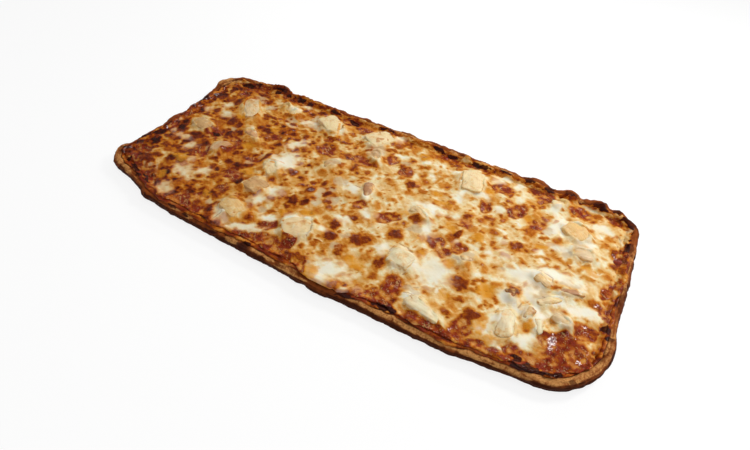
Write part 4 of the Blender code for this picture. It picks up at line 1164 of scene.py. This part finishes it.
class Tone:
    """A shader value: each operator on it adds one Math node."""

    def __init__(self, finish, socket):
        self.finish = finish
        self.socket = socket

    def maths(self, operation, first, second):
        """One Math node between two values."""
        settings = {"operation": operation}
        return self.finish.add("ShaderNodeMath", settings, {0: first, 1: second})

    def __add__(self, other):
        return self.maths("ADD", self, other)

    def __sub__(self, other):
        return self.maths("SUBTRACT", self, other)

    def __rsub__(self, other):
        return self.maths("SUBTRACT", other, self)

    def __mul__(self, other):
        return self.maths("MULTIPLY", self, other)

    def or_more(self, other):
        """The larger of two values."""
        return self.maths("MAXIMUM", self, other)

    def eased(self, low, high):
        """0 below low and 1 above high, eased between them."""
        settings = {"interpolation_type": "SMOOTHSTEP"}
        return self.finish.add("ShaderNodeMapRange", settings, {0: self, 1: low, 2: high})


class Finish:
    """A material and the means to add nodes to it."""

    def __init__(self, name):
        self.material = bpy.data.materials.new(name)
        self.material.use_nodes = True
        self.tree = self.material.node_tree
        self.shader = self.tree.nodes["Principled BSDF"]
        self.where = self.add("ShaderNodeTexCoord", {}, {}, "Object")

    def add(self, kind, settings, sockets, output=0):
        """A node of a kind, with its settings, then the values or links of its sockets."""
        node = self.tree.nodes.new(kind)
        for name, value in settings.items():
            if name == "stops":
                self.set_stops(node.color_ramp, value)
            else:
                setattr(node, name, value)
        for key, value in sockets.items():
            self.feed(node.inputs[key], value)
        return Tone(self, node.outputs[output])

    def feed(self, socket, value):
        """Link a value to a socket, or set it there if it is a constant."""
        if isinstance(value, Tone):
            self.tree.links.new(value.socket, socket)
        else:
            socket.default_value = value

    def set_stops(self, ramp, stops):
        """Give a colour ramp its places and colours."""
        while len(ramp.elements) < len(stops):
            ramp.elements.new(0.5)
        for element, (place, colour) in zip(ramp.elements, stops):
            element.position = place
            element.color = linear(colour)

    def noted(self, name):
        """A value kept with the mesh."""
        return self.add("ShaderNodeAttribute", {"attribute_name": name}, {}, "Fac")

    def grain(self, pitch, detail=3.0, rough=0.55, where=None):
        """Uneven value from 0 to 1 with a pitch in millimetres."""
        sockets = {"Vector": where or self.where, "Scale": 1 / (pitch * MM)}
        sockets.update(Detail=detail, Roughness=rough)
        return self.add("ShaderNodeTexNoise", {}, sockets)

    def blend(self, share, first, second):
        """A colour between two: 0 the first, 1 the second."""
        sockets = {0: share}
        for key, colour in ((6, first), (7, second)):
            sockets[key] = linear(colour) if isinstance(colour, tuple) else colour
        return self.add("ShaderNodeMix", {"data_type": "RGBA", "clamp_factor": True}, sockets, 2)

    def between(self, share, first, second):
        """A value between two."""
        return self.add("ShaderNodeMix", {"clamp_factor": True}, {0: share, 2: first, 3: second})

    def bumps(self, height, depth, strength):
        """Fine relief from a value, with its depth in millimetres."""
        sockets = {"Height": height, "Distance": depth * MM, "Strength": strength}
        return self.add("ShaderNodeBump", {}, sockets)

    def settle(self, **sockets):
        """Set the shader's own sockets, named with _ for each space."""
        for name, value in sockets.items():
            self.feed(self.shader.inputs[name.replace("_", " ")], value)
        return self.material


def baked_colour(skin, bake):
    """Colour of cheese or sauce for how far it is baked, from milky to scorched."""
    return skin.add("ShaderNodeValToRGB", {"stops": BAKED}, {0: bake})


def cheese_finish():
    """Melted cheese from milky white to scorched, with oil and sauce."""
    skin = Finish("melted_cheese")
    mottled = skin.grain(2.2, 5.0, 0.6)
    specks = skin.grain(0.7, 3.0)
    sockets = {"Vector": skin.where, "Rotation": (0, 0, SHRED_ANGLE), "Scale": (3.6, 1.0, 1.0)}
    combed = skin.add("ShaderNodeMapping", {"vector_type": "TEXTURE"}, sockets)
    shreds = skin.grain(1.5, 4.0, 0.6, combed)
    white = skin.noted("white")
    fine = (mottled - 0.5) * 0.34 + (shreds - 0.5) * 0.26 + (specks - 0.5) * 0.10
    sauce = (skin.noted("sauce") + fine * 1.8).eased(0.3, 0.95)
    char = (skin.noted("char") + (specks - 0.5) * 0.7).eased(0.2, 0.8)
    even = skin.noted("bake")
    rough = even.eased(0.45, 0.75)
    bake = even + fine * (0.9 - white * 0.8 + rough * 0.4) + char * 0.35
    colour = skin.blend(white * 0.35, baked_colour(skin, bake), MILKY)
    # Grey: partly translucent cheese, partly painted shadow
    grey = (skin.noted("grey") + (shreds - 0.5) * 0.9).eased(0.2, 0.9)
    colour = skin.blend(grey * (1 - bake.eased(0.4, 0.7)) * 0.6, colour, PALE_GREY_AND_SHADE)
    oil = (skin.noted("oil") + (mottled - 0.5) * 1.0).eased(0.3, 1.0)
    colour = skin.blend(oil * 0.6, colour, OIL_YELLOW)
    thin_sauce = sauce * (1 - bake.eased(0.5, 0.72)) * mottled.eased(0.4, 0.6)
    colour = skin.blend(thin_sauce * 0.7, colour, SAUCY_CHEESE)
    colour = skin.blend(sauce * rough * mottled.eased(0.34, 0.60) * 0.8, colour, SAUCE_RED)
    flecks = (specks * 0.45 + shreds * 0.55).eased(0.53, 0.63)
    colour = skin.blend(sauce * flecks * 0.6, colour, TAN_CHEESE)
    colour = skin.blend(char.eased(0.45, 0.95) * 0.85, colour, BURNT)
    # Creases and gaps round the chicken: partly scorched, partly painted shade
    colour = skin.blend(skin.noted("crease").eased(0.2, 0.9) * 0.5, colour, CREASE_BROWN_AND_SHADE)
    wet = even.eased(0.5, 0.75)
    shine = wet * (specks * 0.7 + mottled * 0.3).eased(0.46, 0.60)
    relief = mottled * (0.5 - wet * 0.2) + specks * (wet * 0.8 + 0.2) + shreds * 0.35
    return skin.settle(
        Base_Color=colour,
        Roughness=skin.between(wet, 0.55, 0.4),
        Specular_IOR_Level=0.04,
        Coat_Weight=shine * 0.85,
        Coat_Roughness=0.12,
        Subsurface_Weight=0.2,
        Subsurface_Radius=(1.0, 0.6, 0.3),
        Subsurface_Scale=1.2 * MM,
        Normal=skin.bumps(relief * (1 - white * 0.7), 0.9, 1.0),
    )


def sauce_finish():
    """Thick dark sauce with a sticky shine, baked on towards the rim."""
    skin = Finish("bbq_sauce")
    mottled = skin.grain(2.4, 5.0, 0.6)
    specks = skin.grain(0.9, 3.0)
    char = (skin.noted("char") + (mottled - 0.5) * 0.8).eased(0.3, 0.8)
    bake = skin.noted("bake") + (mottled - 0.5) * 0.6 + (specks - 0.5) * 0.3 + char * 0.2
    colour = baked_colour(skin, bake)
    red = skin.blend(specks.eased(0.35, 0.65), SAUCE_DARK, SAUCE_RED)
    colour = skin.blend((skin.noted("sauce") + (mottled - 0.5)).eased(0.1, 0.7) * 0.7, colour, red)
    colour = skin.blend(char.eased(0.4, 0.95) * 0.9, colour, BURNT)
    return skin.settle(
        Base_Color=colour,
        Roughness=skin.between(char, 0.45, 0.6),
        Specular_IOR_Level=0.08,
        Coat_Weight=0.12,
        Coat_Roughness=0.12,
        Normal=skin.bumps(mottled * 0.6 + specks * 0.5, 0.7, 0.8),
    )


def crust_finish():
    """Baked dough: tan on its lip, brown and burnt elsewhere, and dark and flaky down its side, the
    dark partly browning and partly painted shade.
    """
    skin = Finish("baked_crust")
    cloudy = skin.grain(9.0)
    mottled = skin.grain(2.6, 5.0, 0.6)
    specks = skin.grain(0.8, 4.0, 0.65)
    flakes = skin.noted("flakes")
    height = skin.noted("height")
    uneven = (mottled - 0.5) * 0.8 + flakes * 0.22 + (specks - 0.5) * 0.2
    # Darker lower down the side: partly browning, partly painted shade
    shade = (height - 0.55) * 1.1 + (cloudy - 0.5) * 1.5 + uneven
    colour = skin.blend(shade.eased(-0.2, 0.6), CRUST_UNDER_BROWN_AND_SHADE, CRUST_BROWN)
    tan = skin.blend((specks * 0.5 + mottled * 0.5).eased(0.34, 0.62), CRUST_BROWN, CRUST_TAN)
    crown = (height + uneven * 0.12).eased(0.86, 0.97)
    crown = crown * (skin.noted("tan") + uneven * 0.9).eased(0.25, 0.75)
    bare = (skin.noted("bare") + uneven).eased(0.25, 0.8)
    colour = skin.blend(crown.or_more(bare), colour, tan)
    # The lowest part of the side goes darker still: browning with painted shade
    low = 1 - (height + flakes * 0.12 + (mottled - 0.5) * 0.3).eased(0.68, 0.96)
    colour = skin.blend(low * (0.9 - bare * 0.5), colour, CRUST_UNDER_BROWN_AND_SHADE)
    sauce = (skin.noted("sauce") + (mottled - 0.5) * 0.7).eased(0.2, 0.9)
    colour = skin.blend(sauce * 0.85, colour, SCORCHED)
    char = (skin.noted("char") + (mottled - 0.5) * 0.9).eased(0.25, 0.9)
    colour = skin.blend((char * 3).eased(0, 1) * 0.75, colour, SCORCHED)
    colour = skin.blend(char.eased(0.45, 1.0) * 0.8, colour, BURNT)
    relief = mottled * 0.6 + specks * 0.4 + flakes * 0.25
    return skin.settle(
        Base_Color=colour,
        Roughness=skin.between(char.or_more(sauce), 0.75, 0.55),
        Specular_IOR_Level=0.05,
        Normal=skin.bumps(relief, 0.8, 0.9),
    )


def chicken_finish(tint):
    """Cooked chicken of a tint, with fibres along the piece, browned marks and painted shade on its
    flanks.
    """
    skin = Finish(f"chicken_{tint}")
    own = skin.add("ShaderNodeAttribute", {"attribute_name": "own"}, {}, "Vector")
    stretched = skin.add("ShaderNodeMapping", {}, {"Vector": own, "Scale": (0.16, 1.0, 1.0)})
    sockets = {"Vector": stretched, "Scale": 1.4, "Detail": 4.0}
    fibres = skin.add("ShaderNodeTexNoise", {}, sockets)
    mottled = skin.grain(2.4, 4.0)
    specks = skin.grain(0.8, 3.0)
    body, stringy = CHICKEN_TINTS[tint]
    darker = tuple(part * (1 - stringy * loss) for part, loss in zip(body, (0.16, 0.25, 0.38)))
    # A darker, warmer copy of the tint, used as painted shade on the flanks
    shaded_flank_colour = tuple(part * kept for part, kept in zip(body, (0.90, 0.80, 0.64)))
    colour = skin.blend((fibres * 0.65 + mottled * 0.35).eased(0.36, 0.56), darker, body)
    # Painted shade: flanks that face sideways are darkened and warmed
    colour = skin.blend(skin.noted("sides") * mottled.eased(0.3, 0.6) * 0.7, colour, shaded_flank_colour)
    # Grey: partly painted shadow on the chicken
    colour = skin.blend(skin.noted("grey") * 0.3, colour, PALE_GREY_AND_SHADE)
    bake = (mottled - 0.5) * 0.9 + (specks - 0.5) * 0.3 + 0.24 + skin.noted("brown") * 0.3
    film = baked_colour(skin, bake)
    colour = skin.blend(skin.grain(6.0, 3.0).eased(0.46, 0.62) * 0.75, colour, film)
    buried = (skin.noted("buried") + (mottled - 0.5) * 1.2).eased(0.1, 0.9)
    colour = skin.blend(buried * 0.9, colour, film)
    oil = (skin.noted("oil") + (specks - 0.5) * 0.5).eased(0.2, 0.8)
    colour = skin.blend(oil * 0.85, colour, OIL_YELLOW)
    marks = (skin.noted("marks") + (specks - 0.5) * 0.6).eased(0.35, 0.8)
    colour = skin.blend(marks * 0.8, colour, CHICKEN_BROWN)
    relief = fibres * (0.15 + 0.5 * stringy) + specks * 0.25
    return skin.settle(
        Base_Color=colour,
        Roughness=skin.between(mottled.eased(0.4, 0.6), 0.36, 0.5),
        Specular_IOR_Level=0.3,
        Subsurface_Weight=0.5,
        Subsurface_Radius=(1.0, 0.8, 0.6),
        Subsurface_Scale=1.8 * MM,
        Normal=skin.bumps(relief, 0.5, 0.6),
    )


def build_floor():
    """Plain pale floor."""
    bm = bmesh.new()
    bmesh.ops.create_grid(bm, x_segments=1, y_segments=1, size=FLOOR_HALF_SIZE)
    item = to_mesh("floor", bm)
    set_places(item, places_of(item) * MM)
    skin = Finish("plain_floor")
    item.data.materials.append(skin.settle(
        Base_Color=linear(FLOOR_GREY), Roughness=0.9,
        Emission_Color=linear(WHITE), Emission_Strength=FLOOR_LIGHT))


def add_light(name, place, target, length, width, power, colour):
    """An oblong light at a place, turned to a target, both in millimetres."""
    light = bpy.data.lights.new(name, "AREA")
    light.shape = "RECTANGLE"
    light.size = length * MM
    light.size_y = width * MM
    light.energy = power
    light.color = colour
    item = bpy.data.objects.new(name, light)
    bpy.context.scene.collection.objects.link(item)
    item.location = Vector(place) * MM
    towards = Vector(target) - Vector(place)
    item.rotation_euler = towards.to_track_quat("-Z", "Y").to_euler()


def light_scene():
    """Soft studio light: a window behind, a broad fill and a pale room."""
    for light in LIGHTS:
        add_light(*light)
    world = bpy.data.worlds.new("pale_room")
    world.use_nodes = True
    room = world.node_tree.nodes["Background"].inputs
    room["Color"].default_value = linear(WHITE)
    room["Strength"].default_value = ROOM_LIGHT
    bpy.context.scene.world = world
    bpy.context.scene.view_settings.view_transform = "Standard"


def place_camera():
    """The photograph's view."""
    camera = bpy.data.cameras.new("camera")
    camera.sensor_width = SENSOR_WIDTH
    camera.lens = CAMERA_LENS
    camera.clip_start = NEAREST_SEEN * MM
    item = bpy.data.objects.new("camera", camera)
    bpy.context.scene.collection.objects.link(item)
    right = Vector(CAMERA_RIGHT)
    up = Vector(CAMERA_UP)
    turn = Matrix((right, up, right.cross(up))).transposed().to_4x4()
    item.matrix_world = Matrix.Translation(Vector(CAMERA_PLACE) * MM) @ turn
    bpy.context.scene.camera = item


def main():
    """Build the whole scene."""
    place_camera()
    light_scene()
    build_floor()
    outline = Outline()
    build_crust(outline, crust_finish())
    build_sauce(outline, sauce_finish())
    build_cheese(outline, cheese_finish())
    finishes = {tint: chicken_finish(tint) for tint in CHICKEN_TINTS}
    for number, piece in enumerate(CHICKEN_PIECES, 1):
        build_chicken(number, piece, finishes[piece[-1]])


main()
